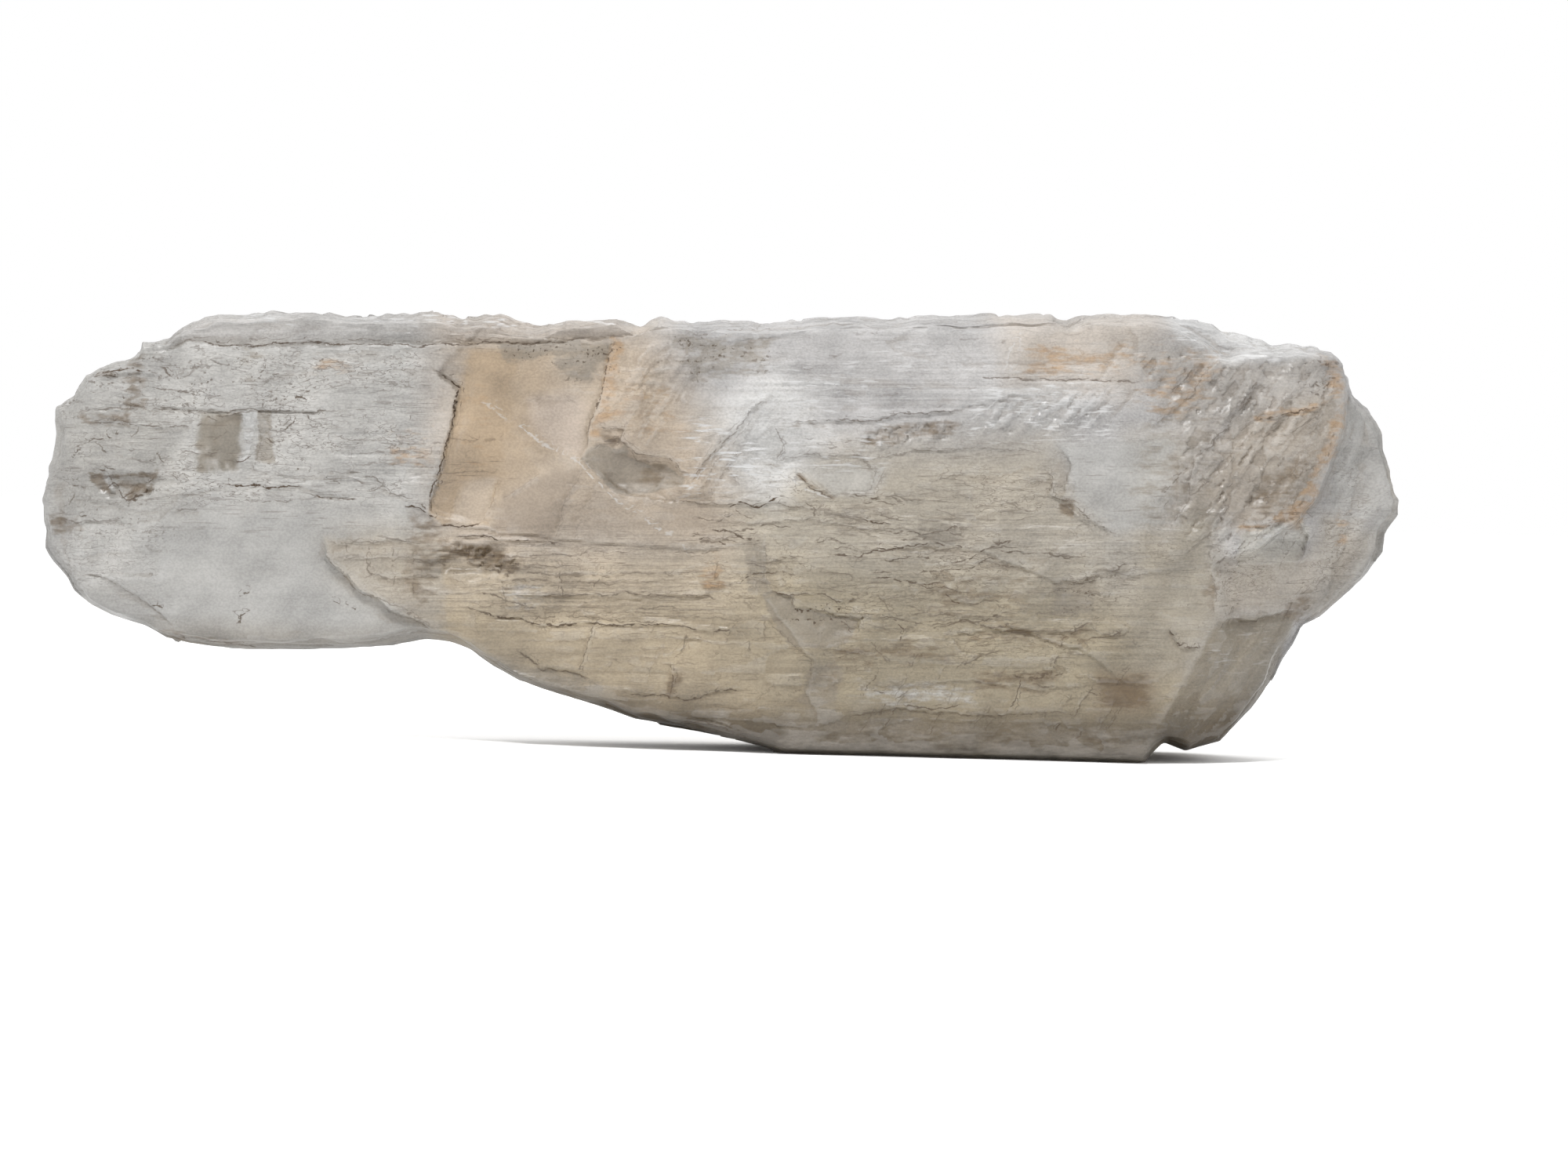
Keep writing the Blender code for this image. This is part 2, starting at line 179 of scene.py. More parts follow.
BACK = dict(
    profile=[(48, 0.013), (110, 0.017), (300, 0.021), (560, 0.028), (760, 0.042), (1000, 0.056),
             (1200, 0.061), (1480, 0.061), (1620, 0.048), (1710, 0.032), (1790, 0.018)],
    ledges=[
        # the long sheet along the top, which ends in a step down towards the middle
        dict(line=[(120, 536), (240, 524), (400, 534), (560, 528), (720, 540), (880, 518), (1010, 530),
                   (1150, 515), (1300, 520), (1440, 498), (1560, 512), (1660, 500)],
             fall=0.009, reach=0.09, fade=0.05),
        # two stubs of sheets below it
        dict(line=[(300, 655), (430, 662), (560, 646), (640, 640), (690, 600), (700, 545)],
             fall=0.005, reach=0.05),
        dict(line=[(930, 690), (1060, 706), (1210, 700), (1300, 652), (1420, 640), (1500, 590)],
             fall=0.006, reach=0.05),
        # the low edge of the thick body
        dict(line=[(760, 800), (900, 850), (1050, 872), (1180, 880), (1300, 842), (1440, 850),
                   (1580, 800)],
             fall=0.007, reach=0.06),
        # a chipped corner at the thick end
        dict(line=[(1690, 640), (1620, 700), (1600, 780)], fall=0.008, reach=0.05),
    ],
    hollows=[
        dict(at=(760, 640), half=(120, 30), turn=8, depth=0.006),
        dict(at=(1290, 748), half=(150, 34), turn=-6, depth=0.006),
    ],
    facets=[
        dict(line=[(1530, 960), (1660, 560)], slope=0.50),
        dict(line=[(1700, 520), (1250, 450)], slope=0.35),
        dict(line=[(560, 780), (1000, 900)], slope=0.60),
        dict(line=[(120, 560), (300, 850)], slope=0.25),
    ],
    seed=51,
)


def box(left, top, right, bottom):
    """The corners of an upright rectangle, in pixels."""
    return [(left, top), (right, top), (right, bottom), (left, bottom)]


def step(fall, dirt, *line, reach=0.008):
    """A small break whose right side lies lower."""
    return dict(line=line, fall=fall, reach=reach, dirt=dirt)


def groove(depth, dirt, *line):
    """A small break that is worn into a groove."""
    return dict(line=line, groove=depth, dirt=dirt)


def crack(dirt, *line):
    """A break that shows only by the dirt in it."""
    return dict(line=line, dirt=dirt)


# The small breaks of the front: how deep a step or a groove is, how dirty each is, and its line
BREAKS = [
    # the terrace under the top edge
    crack(0.9, (196, 446), (235, 436), (312, 441), (357, 436), (402, 436), (470, 438), (536, 440),
          (620, 436), (696, 438), (760, 434), (792, 430)),
    # edges of thin sheets on the pale lobe
    step(0.0018, 1.0, (112, 479), (156, 470), (200, 476)),
    groove(0.0008, 0.6, (67, 528), (110, 522), (170, 520), (240, 524), (312, 522), (380, 526),
           (446, 524)),
    step(0.0012, 0.7, (98, 542), (156, 539), (204, 546), (262, 540)),
    step(0.0010, 0.3, (320, 528), (330, 560), (322, 600), (380, 606), (451, 600), (449, 560)),
    step(0.0016, 0.9, (107, 600), (129, 602), (154, 640), (178, 631), (196, 600)),
    step(0.0012, 0.5, (58, 660), (85, 668), (120, 662), (170, 672)),
    step(0.0010, 0.2, (60, 632), (110, 640), (170, 652), (215, 646)),
    step(0.0016, 0.3, (84, 728), (130, 742), (180, 770), (222, 806), reach=0.012),
    groove(0.0006, 1.1, (279, 618), (330, 620), (388, 621)),
    groove(0.0006, 1.1, (393, 633), (455, 639)),
    step(0.0010, 0.6, (455, 606), (480, 612), (500, 628), (530, 640)),
    crack(0.4, (452, 562), (520, 560), (575, 566)),
    crack(0.4, (456, 578), (530, 576), (570, 582)),
    crack(0.4, (452, 594), (500, 592), (566, 598)),
    crack(0.7, (214, 812), (260, 822), (326, 828)),
    crack(0.9, (298, 762), (314, 756)),
    crack(0.9, (302, 800), (304, 790), (314, 780)),
    crack(0.9, (418, 762), (432, 772)),
    crack(0.9, (438, 768), (452, 778)),
    crack(0.9, (184, 770), (202, 780)),
    # the flaky tongue over the lobe
    step(0.0012, 0.45, (411, 690), (450, 694), (500, 688), (545, 694)),
    step(0.0010, 0.4, (420, 712), (470, 716), (520, 712), (560, 722)),
    step(0.0010, 0.4, (455, 734), (500, 738), (545, 734), (600, 744)),
    crack(0.5, (440, 692), (444, 716)),
    crack(0.6, (470, 696), (468, 720), (474, 742)),
    crack(0.5, (500, 698), (504, 730), (498, 752)),
    crack(0.5, (526, 700), (530, 734), (524, 764)),
    crack(0.5, (411, 690), (416, 714), (446, 745), (475, 765), (504, 770), (536, 792), (560, 806)),
    # the dirty cracks round the tan panel
    groove(0.0012, 1.4, (549, 466), (556, 473), (585, 495), (580, 529), (567, 573), (554, 618),
           (545, 654)),
    step(0.0016, 1.4, (513, 647), (532, 650), (556, 661)),
    groove(0.0008, 1.3, (560, 670), (590, 673), (616, 671)),
    step(0.0016, 0.9, (575, 684), (640, 688), (700, 691), (724, 694)),
    groove(0.0006, 0.8, (786, 430), (777, 453), (768, 497), (754, 537), (748, 560)),
    # steps within the panel
    step(0.0008, 0.3, (634, 609), (628, 636), (618, 669)),
    step(0.0004, 0.2, (585, 613), (580, 640), (573, 669)),
    step(0.0010, 0.2, (692, 602), (664, 622), (638, 640)),
    step(0.0006, 0.3, (655, 520), (672, 510), (712, 510), (740, 516)),
    crack(0.5, (570, 560), (600, 562), (640, 558)),
    crack(0.5, (586, 582), (640, 586)),
    crack(0.5, (575, 604), (600, 600), (632, 604)),
    step(0.0008, 0.5, (760, 545), (796, 547), (785, 574)),
    step(0.0008, 0.3, (741, 600), (720, 640), (705, 694), reach=0.006),
    step(0.0006, 0.2, (760, 614), (742, 652), (730, 694), reach=0.006),
    # ribs and steps of the middle
    step(0.0012, 0.15, (808, 506), (822, 480), (836, 458), (862, 440), reach=0.006),
    step(0.0010, 0.15, (848, 516), (866, 492), (890, 474), reach=0.006),
    step(0.0010, 0.35, (741, 587), (768, 566), (800, 562), (812, 588), (850, 590), (880, 602),
         (866, 618), reach=0.014),
    step(0.0014, 0.5, (870, 622), (918, 570), (964, 520), (987, 506), reach=0.010),
    step(0.0008, 0.3, (888, 628), (914, 594), (942, 556), (966, 530), reach=0.004),
    step(0.0008, 0.3, (902, 636), (934, 590), (952, 574), reach=0.004),
    step(0.0008, 0.5, (988, 540), (1000, 566), (992, 588), reach=0.006),
    step(0.0006, 0.4, (942, 572), (930, 600), (944, 626), reach=0.006),
    step(0.0008, 0.4, (1094, 580), (1118, 604), (1108, 630), reach=0.006),
    crack(0.5, (1020, 560), (1056, 572), (1090, 560), (1130, 566)),
    step(0.0010, 0.6, (752, 566), (792, 560), (812, 578), (850, 584), (876, 600), reach=0.006),
    step(0.0018, 0.6, (844, 636), (900, 642), (991, 640), (1060, 656)),
    step(0.0014, 0.4, (987, 591), (1009, 582), (1094, 580), (1116, 595), reach=0.012),
    groove(0.0010, 0.8, (1013, 600), (1035, 622), (1062, 640)),
    crack(0.7, (1026, 640), (1040, 650), (1036, 662)),
    step(0.0012, 0.4, (905, 660), (960, 668), (1040, 664), (1120, 676), (1180, 672)),
    step(0.0018, 0.4, (964, 756), (1009, 756), (1013, 774), (1098, 787), (1088, 823)),
    crack(0.4, (929, 747), (970, 782), (1004, 814), (1031, 841), (1036, 877)),
    # the right middle
    step(0.0012, 0.6, (988, 537), (1114, 537), (1145, 528), (1237, 520), reach=0.006),
    step(0.0012, 0.4, (1084, 587), (1160, 578), (1233, 572), (1344, 574)),
    step(0.0010, 0.4, (1130, 595), (1114, 629), (1061, 633)),
    groove(0.0006, 0.6, (1233, 482), (1340, 486), (1466, 486)),
    step(0.0020, 0.6, (1325, 595), (1340, 610), (1336, 633), (1367, 641), (1390, 664), (1428, 683)),
    step(0.0012, 0.8, (973, 754), (1040, 757), (1070, 768), (1099, 761)),
    step(0.0010, 0.9, (1130, 694), (1190, 692), (1244, 696)),
    step(0.0010, 0.3, (1390, 717), (1436, 733), (1500, 728)),
    step(0.0012, 0.4, (1237, 798), (1300, 806), (1378, 802), (1450, 812)),
    step(0.0012, 0, (1497, 564), (1504, 600), (1498, 671), reach=0.012),
    step(0.0010, 0.3, (1080, 870), (1160, 874), (1240, 866), (1330, 878), (1420, 870)),
    step(0.0010, 0.5, (1060, 912), (1150, 906), (1260, 914), (1380, 906)),
    # the tan plates
    step(0.0014, 0.9, (570, 772), (604, 777), (651, 788), (694, 796), (790, 797), (847, 796), (897, 803),
         (965, 806)),
    step(0.0012, 0.6, (640, 757), (683, 757), (769, 759), (850, 756), (897, 760), (943, 773)),
    step(0.0008, 0.7, (610, 752), (630, 756), (642, 765), (690, 773)),
    step(0.0010, 0.3, (600, 738), (690, 736), (780, 742), (900, 734)),
    step(0.0008, 0.3, (640, 816), (740, 816), (850, 812), (960, 822)),
    step(0.0012, 0.7, (786, 882), (818, 886), (879, 891), (915, 882), (960, 880)),
    step(0.0008, 0.7, (856, 842), (860, 866), (852, 887)),
    step(0.0010, 0.6, (768, 783), (756, 806), (748, 830), (736, 864)),
    crack(0.6, (877, 805), (869, 832)),
    crack(0.5, (924, 811), (915, 842)),
    step(0.0014, 0.7, (655, 826), (672, 838), (690, 852), (720, 857), (757, 868)),
    step(0.0012, 0.6, (861, 924), (897, 919), (918, 926), (960, 940)),
    # the right end
    step(0.0026, 0.3, (1578, 682), (1600, 668), (1657, 657), (1673, 682), (1660, 720)),
    step(0.0018, 0.8, (1599, 537), (1650, 524), (1694, 516)),
    step(0.0016, 0.9, (1487, 798), (1503, 823), (1532, 827)),
    step(0.0040, 0.3, (1549, 790), (1600, 792), (1661, 781), reach=0.020),
    step(0.0012, 0.4, (1545, 694), (1540, 724), (1552, 760), (1546, 788)),
    step(0.0014, 0.15, (1456, 490), (1430, 520), (1404, 556)),
    step(0.0012, 0.15, (1440, 430), (1410, 470), (1396, 500)),
    step(0.0012, 0.4, (1520, 580), (1510, 640), (1490, 676)),
    crack(0.9, (1136, 786), (1150, 800), (1148, 818)),
    crack(0.9, (1204, 754), (1212, 766), (1226, 770)),
    step(0.0008, 0.8, (1302, 862), (1296, 886), (1284, 912)),
    crack(0.8, (1290, 860), (1320, 866), (1336, 858)),
    crack(0.8, (1150, 900), (1190, 904), (1230, 898)),
]
# White lines of inner breaks that reach the front
VEINS = [
    [(596, 502), (661, 542), (737, 593), (786, 636), (870, 694), (886, 716)],
    [(897, 578), (982, 595), (1027, 622), (1062, 640)],
    [(874, 624), (920, 574), (966, 524), (990, 508)],
    [(1300, 420), (1278, 478)],
    [(1236, 540), (1284, 500)],
    [(1350, 556), (1404, 500)],
]
# Small breaks too many to place one by one: area, how many, length in pixels, direction and its spread in
# degrees, how far they wander in pixels, the most a step falls, and the most dirt
SCATTERED = [
    dict(area=[(70, 450), (560, 450), (560, 640), (60, 660)], count=30, length=(18, 70), turn=0, wander=4,
         fall=0.0005, dirt=0.8),
    dict(area=[(560, 690), (960, 700), (980, 800), (580, 800)], count=30, length=(60, 260), turn=1,
         wander=2, fall=0.0006, dirt=0.6),
    dict(area=[(600, 800), (960, 810), (1020, 920), (760, 890)], count=12, length=(20, 90), turn=1,
         wander=3, fall=0.0005, dirt=0.5),
    dict(area=[(980, 600), (1320, 600), (1460, 700), (1440, 840), (1060, 840)], count=46,
         length=(24, 130), turn=0, wander=7, fall=0.0007, dirt=0.8),
    dict(area=[(1060, 840), (1480, 840), (1440, 950), (1060, 940)], count=22, length=(14, 60), turn=-58,
         wander=3, fall=0.0006, dirt=0.7),
    dict(area=[(820, 420), (1440, 410), (1400, 480), (1000, 520)], count=14, length=(14, 50), turn=-2,
         wander=3, fall=0.0004, dirt=0.5),
    dict(area=[(1440, 440), (1700, 450), (1720, 600), (1560, 760), (1480, 700)], count=60,
         length=(14, 56), turn=-50, spread=16, wander=4, fall=0.0012, dirt=0.6),
    dict(area=[(1540, 690), (1760, 600), (1740, 740), (1560, 920)], count=16, length=(16, 60), turn=-50,
         wander=6, fall=0.0008, dirt=0.5),
    dict(area=[(970, 670), (990, 670), (985, 800), (960, 760)], count=5, length=(30, 70), turn=-88,
         wander=3, fall=0.0006, dirt=0.4),
    dict(area=[(80, 450), (420, 445), (420, 600), (80, 600)], count=50, length=(8, 26), turn=0, spread=60,
         wander=3, fall=0.0004, dirt=1.0),
    dict(area=[(60, 590), (250, 590), (240, 700), (60, 700)], count=20, length=(8, 26), turn=0, spread=60,
         wander=3, fall=0.0004, dirt=0.9),
    dict(area=[(560, 700), (960, 700), (1000, 900), (760, 890), (600, 820)], count=30, length=(10, 44),
         turn=-75, spread=25, wander=3, fall=0.0004, dirt=0.7),
    dict(area=[(1040, 700), (1460, 700), (1460, 900), (1060, 900)], count=34, length=(10, 50), turn=0,
         spread=60, wander=6, fall=0.0005, dirt=0.8),
    dict(area=[(860, 640), (1340, 600), (1340, 760), (900, 760)], count=34, length=(20, 100), turn=0,
         spread=8, wander=8, fall=0.0007, dirt=1.0),
]
SCATTERED_BACK = [
    dict(area=[(70, 470), (760, 430), (700, 780), (120, 740)], count=44, length=(24, 150), turn=0,
         wander=5, fall=0.0008, dirt=0.7),
    dict(area=[(700, 430), (1560, 430), (1600, 900), (980, 930), (700, 800)], count=80, length=(30, 220),
         turn=0, wander=5, fall=0.0010, dirt=0.7),
    dict(area=[(1480, 450), (1740, 520), (1700, 760), (1500, 900)], count=26, length=(20, 90), turn=-54,
         wander=5, fall=0.0012, dirt=0.5),
]

# Where the front is cleaved smooth
SMOOTH_AREAS = [
    [(210, 655), (330, 640), (470, 660), (420, 700), (450, 745), (535, 800), (540, 818), (330, 826),
     (240, 800), (190, 740)],
    [(596, 470), (760, 500), (744, 590), (690, 668), (562, 660), (566, 600), (590, 520)],
    [(748, 585), (770, 566), (830, 566), (868, 592), (864, 618), (790, 624)],
    [(1030, 597), (1128, 597), (1112, 627), (1061, 631)],
    [(1362, 568), (1495, 566), (1497, 668), (1440, 680), (1396, 664), (1366, 630)],
    [(250, 526), (304, 526), (310, 604), (256, 606)],
    [(966, 760), (1008, 758), (1090, 790), (1078, 822), (1010, 822)],
]
# Where it is broken into splinters: area, their direction in degrees, length and width, height of a step
SPLINTERS = [
    dict(area=[(800, 436), (905, 428), (890, 510), (826, 570), (790, 540)], angle=56, size=(0.050, 0.0070),
         step=0.0006),
    dict(area=[(868, 632), (886, 560), (985, 500), (1010, 520), (945, 600), (900, 640)], angle=48,
         size=(0.040, 0.0060), step=0.0006),
    dict(area=[(556, 690), (620, 692), (672, 712), (655, 738), (600, 724)], angle=38,
         size=(0.010, 0.0030), step=0.0014),
    dict(area=[(1240, 528), (1300, 508), (1420, 490), (1400, 552), (1250, 560)], angle=46,
         size=(0.016, 0.0036), step=0.0008),
    dict(area=[(1100, 545), (1240, 526), (1230, 556), (1136, 576), (1096, 572)], angle=46,
         size=(0.008, 0.0026), step=0.0012),
    dict(area=[(1440, 446), (1700, 450), (1722, 560), (1664, 664), (1560, 712), (1500, 690), (1500, 560)],
         angle=54, size=(0.020, 0.0060), step=0.0010),
    dict(area=[(1728, 500), (1790, 640), (1750, 760), (1690, 790), (1690, 640)], angle=62,
         size=(0.040, 0.0060), step=0.0006),
    dict(area=[(1549, 800), (1655, 800), (1590, 930), (1500, 956), (1470, 940)], angle=58,
         size=(0.030, 0.0060), step=0.0005),
]


def smooth(t):
    t = np.clip(t, 0, 1)
    return t * t * (3 - 2 * t)


# Places


def place(pixels):
    """Pixels of the photograph as metres on the crystal's middle plane, its base flat on the ground."""
    p = np.array(pixels, float).reshape(-1, 2)
    along = (p[:, 0] - BASE_LEFT[0]) * PIXEL
    up = (BASE_LEFT[1] - p[:, 1]) * PIXEL
    return np.c_[along * math.cos(LEAN) - up * math.sin(LEAN), along * math.sin(LEAN) + up * math.cos(LEAN)]


def centred(pixels):
    """place(), with the middle of the outline at X = 0."""
    edge = place(OUTLINE)[:, 0]
    return place(pixels) - np.array([(edge.min() + edge.max()) / 2, 0])


def camera_axes():
    """The camera's place and its unit vectors to the right, up and forward."""
    x, z = centred((IMAGE[0] / 2, IMAGE[1] / 2))[0]
    forward = np.array([0, math.cos(ELEVATION), -math.sin(ELEVATION)])
    level_up = np.array([0, math.sin(ELEVATION), math.cos(ELEVATION)])
    level_right = np.array([1.0, 0, 0])
    right = level_right * math.cos(LEAN) + level_up * math.sin(LEAN)
    up = level_up * math.cos(LEAN) - level_right * math.sin(LEAN)
    return np.array([x, RIM_PLANE, z]) - forward * DISTANCE, right, up, forward


def seen(pixels, plane):
    """Where the rays through pixels of the photograph meet the plane Y = plane, as X and Z."""
    origin, right, up, forward = camera_axes()
    p = np.array(pixels, float).reshape(-1, 2)
    span = FRAME_WIDTH / DISTANCE / IMAGE[0]
    off_x = (p[:, 0] - IMAGE[0] / 2) * span
    off_y = (IMAGE[1] / 2 - p[:, 1]) * span
    ray = forward + off_x[:, None] * right + off_y[:, None] * up
    hit = origin + ray * ((plane - origin[1]) / ray[:, 1])[:, None]
    return hit[:, [0, 2]]


def near(line, xz, margin):
    """The numbers of the points that lie within a line's box and a margin."""
    low = line.min(0) - margin
    high = line.max(0) + margin
    return np.flatnonzero(((xz > low) & (xz < high)).all(1))


def nearest(line, xz, closed=False):
    """Distance to a line, its side (positive on its right), the share passed and the way to its right."""
    ends = np.vstack([line, line[:1]]) if closed else line
    best = np.full(len(xz), np.inf)
    side = np.zeros(len(xz))
    share = np.zeros(len(xz))
    normal = np.zeros((len(xz), 2))
    lengths = np.linalg.norm(np.diff(ends, axis=0), axis=1)
    before = np.r_[0, np.cumsum(lengths)]
    for n, length in enumerate(lengths):
        way = (ends[n + 1] - ends[n]) / length
        from_start = xz - ends[n]
        passed = np.clip(from_start @ way, 0, length)
        distance = np.linalg.norm(from_start - passed[:, None] * way, axis=1)
        right = np.array([way[1], -way[0]])
        normal += np.exp(-distance / NORMAL_BLEND)[:, None] * right
        closer = distance < best
        best = np.where(closer, distance, best)
        side = np.where(closer, np.sign(from_start @ right), side)
        share = np.where(closer, (before[n] + passed) / before[-1], share)
    return best, side, share, normal / np.maximum(np.linalg.norm(normal, axis=1), 1e-12)[:, None]


def depth_inside(polygon, xz):
    """Distance to a closed line, positive inside it."""
    inside = np.zeros(len(xz), bool)
    for (x0, z0), (x1, z1) in zip(polygon, np.roll(polygon, -1, 0)):
        between = (z0 > xz[:, 1]) != (z1 > xz[:, 1])
        crossing = x0 + (xz[:, 1] - z0) * (x1 - x0) / (z1 - z0 if z1 != z0 else 1)
        inside ^= between & (xz[:, 0] < crossing)
    return nearest(polygon, xz, closed=True)[0] * np.where(inside, 1, -1)


# Roughness of the broken surfaces
SWELLS = [((0.120, 0.060, 0.045), 0.0030), ((0.036, 0.020, 0.014), 0.0012)]  # size of a wave, height
PLATES = [(0.150, 0.026, 1.0), (0.050, 0.0090, 0.4)]  # length and height of a cleavage plate, weight
PLATE_LEVELS = 1.5
PLATE_STEP = 0.0006
FLAKES = [(0.060, 0.0060, 1.0), (0.018, 0.0026, 0.5)]  # the same for thin flakes
FLAKE_LEVELS = 1.5
FLAKE_STEP = 0.00024
JAG = [(0.009, 0.0016), (0.0032, 0.0006)]  # how breaks wander from their lines: size of a lump, distance
HOLLOW_WOBBLE = [(1.0, 0.30), (3.5, 0.26)]  # how uneven a hollow's edge is: pace of the waves, height
HOLLOW_WALL = 1.5  # how steep its wall is
CRUMBLES = [(0.030, 0.006), (0.011, 0.003)]  # how the edge is eaten back: size of a lump, depth
CHIPS = [(0.0100, 0.0017), (0.0042, 0.0019)]  # the same for small chips
CHIP_DEPTH = 0.3  # how fast the chips change through the slab's depth, against along its edge
LAYERS = (0.055, 0.0042)  # length along the edge and thickness of the sheets that show in it
LAYER_STEP = 0.0010  # how far the end of one sheet stands behind the next
CRUMBLE_REACH = 0.010  # how far in from the edge the crumbling reaches
NORMAL_BLEND = 0.005  # over which a line's direction is evened out round its corners
GROOVE_WIDTH = 0.0009
LEDGE_SPAN = 5  # how many reaches from its line a ledge's fall is still felt
GROOVE_SPAN = 4  # the same for a groove, in its widths
CHIP_REACH = 0.003
CHIPS_SPARED = 0.8  # how much less the underside is chipped than the rest of the edge
LAYER_REACH = 0.002
CLEAVED = 0.9  # how much of its roughness a smoothly cleaved area has lost
KEPT_DIRT = 0.6  # the least dirt of a break along which the mesh stays fine
KEPT_REACH = 0.0014
AREA_EDGE = 0.003  # over which an area of another texture sets in
SPLINTER_LEVELS = 2.0  # how many steps a splinter's noise is cut into


def lattice_noise(points, seed):
    """Smooth noise between -1 and 1, from hashed values on a unit lattice."""
    cell = np.floor(points).astype(int)
    part = smooth(points - cell)
    total = np.zeros(len(points))
    for corner in np.ndindex(2, 2, 2):
        at = cell + np.array(corner)
        mixed = (at[:, 0] * 73856093) ^ (at[:, 1] * 19349663) ^ (at[:, 2] * 83492791) ^ (seed * 2654435761)
        value = ((mixed * 1103515245 + 12345) >> 8 & 0xFFFF) / 32767.5 - 1
        total += value * np.prod(np.where(corner, part, 1 - part), axis=1)
    return total


def flat_noise(xz, length, height, seed):
    """lattice_noise over a broad face, with lumps of this length and height."""
    return lattice_noise(np.c_[xz[:, 0] / length, np.full(len(xz), 0.5), xz[:, 1] / height], seed)


def lumpy(xz, length, height, seed):
    """flat_noise with finer lumps on it."""
    return flat_noise(xz, length, height, seed) + 0.6 * flat_noise(xz, length / 2.7, height / 2.7, seed + 10)


def turned(xz, angle):
    """The points turned about the origin, so that noise stretched along X comes out along that angle."""
    c, s = math.cos(angle), math.sin(angle)
    return np.c_[xz[:, 0] * c + xz[:, 1] * s, xz[:, 1] * c - xz[:, 0] * s]


def jagged(xz):
    """The points moved a little to and fro, so that straight lines come out broken."""
    moved = xz.copy()
    for n, (size, distance) in enumerate(JAG):
        moved += distance * np.c_[flat_noise(xz, size, size, 21 + 2 * n),
                                  flat_noise(xz, size, size, 22 + 2 * n)]
    return moved


def steps(xz, sizes, levels, step, seed):
    """Low plates, long along the crystal, each one step from the next."""
    level = sum(weight * flat_noise(xz, length, height, seed + n)
                for n, (length, height, weight) in enumerate(sizes))
    return np.round(level * levels) * step


# Forms


def ledge_fall(xz, path, fall, reach, width=0.0008, fade=0.2):
    """A step down on the right of a path, which runs out over a reach and towards the path's ends."""
    total = np.zeros(len(xz))
    at = near(path, xz, LEDGE_SPAN * reach)
    distance, side, share, _ = nearest(path, xz[at])
    ends = smooth(share / fade) * smooth((1 - share) / fade)
    total[at] = fall * ends * smooth(distance * side / width) * np.exp(-distance / reach)
    return total


def groove_fall(xz, path, depth, width, fade=0.15):
    total = np.zeros(len(xz))
    at = near(path, xz, GROOVE_SPAN * width)
    distance, _, share, _ = nearest(path, xz[at])
    ends = smooth(share / fade) * smooth((1 - share) / fade)
    total[at] = depth * ends * np.exp(-(distance / width) ** 2)
    return total


def break_fall(xz, path, fall=0, reach=0.008, groove=0, dirt=0):
    """What a small break takes off: dirt takes nothing."""
    total = np.zeros(len(xz))
    if fall:
        total += ledge_fall(xz, path, fall, reach)
    if groove:
        total += groove_fall(xz, path, groove, GROOVE_WIDTH)
    return total


def hollow_fall(xz, at, half, turn, depth):
    """A hollow with an uneven round edge; its half length and half width are in pixels."""
    off = (xz - at) / PIXEL
    c, s = math.cos(math.radians(turn)), math.sin(math.radians(turn))
    along = (off[:, 0] * c + off[:, 1] * s) / half[0]
    across = (off[:, 1] * c - off[:, 0] * s) / half[1]
    spot = np.full(len(xz), at[0] * 1e3)
    wobble = sum(height * lattice_noise(np.c_[along * pace, across * pace, spot], 31)
                 for pace, height in HOLLOW_WOBBLE)
    return depth * smooth(HOLLOW_WALL * (1 + wobble - np.hypot(along, across)))


def facet_fall(xz, path, slope):
    """A flat that slopes away on the right of a straight path."""
    start, end = path
    way = (end - start) / np.linalg.norm(end - start)
    return slope * np.maximum((xz - start) @ np.array([way[1], -way[0]]), 0)


def profile_depth(xz, profile):
    """The depth along the crystal, eased from one given place to the next."""
    across = centred([(pixel, BASE_LEFT[1]) for pixel, _ in profile])[:, 0]
    stop = np.clip(np.searchsorted(across, xz[:, 0]), 1, len(across) - 1)
    part = smooth((xz[:, 0] - across[stop - 1]) / (across[stop] - across[stop - 1]))
    values = np.array([value for _, value in profile])
    return values[stop - 1] + (values[stop] - values[stop - 1]) * part


def splintered(xz, area, splinter):
    """Steps between splinters that lie side by side at an angle."""
    inside = smooth(depth_inside(area, xz) / AREA_EDGE)
    across = turned(xz, math.radians(splinter["angle"]) + LEAN)
    length, width = splinter["size"]
    sizes = [(length, width, 1.0), (length / 3, width / 2.4, 0.5)]
    return inside * steps(across, sizes, SPLINTER_LEVELS, splinter["step"], 81)


def face_depth(xz, profile, ledges, hollows, facets, seed, on_face, smooth_areas, splinters):
    """How far a broad face stands off the middle plane, before its rim is rolled off."""
    broken = jagged(xz)
    level = turned(xz, LEAN)
    depth = profile_depth(xz, profile)
    rough = np.ones(len(xz))
    for area in smooth_areas:
        rough *= 1 - CLEAVED * smooth(depth_inside(on_face(area), broken) / AREA_EDGE)
    depth += steps(level, PLATES, PLATE_LEVELS, PLATE_STEP, seed) * rough
    depth += steps(level, FLAKES, FLAKE_LEVELS, FLAKE_STEP, seed + 5) * rough
    for splinter in splinters:
        depth += splintered(broken, on_face(splinter["area"]), splinter)
    depth -= CROWN * ((xz[:, 1] - CROWN_LEVEL) / CROWN_LEVEL) ** 2
    for ledge in ledges:
        sizes = {key: value for key, value in ledge.items() if key != "line"}
        depth -= ledge_fall(broken, on_face(ledge["line"]), **sizes)
    for hollow in hollows:
        sizes = {key: value for key, value in hollow.items() if key != "at"}
        depth -= hollow_fall(broken, on_face(hollow["at"])[0], **sizes)
    for facet in facets:
        depth -= facet_fall(xz, on_face(facet["line"]), facet["slope"])
    return np.maximum(depth, LEAST_DEPTH)


STOP_EVERY = 14  # pixels between the points of a scattered break
LEAST_SHARE = 0.3  # of the given fall or dirt, for the faintest scattered break


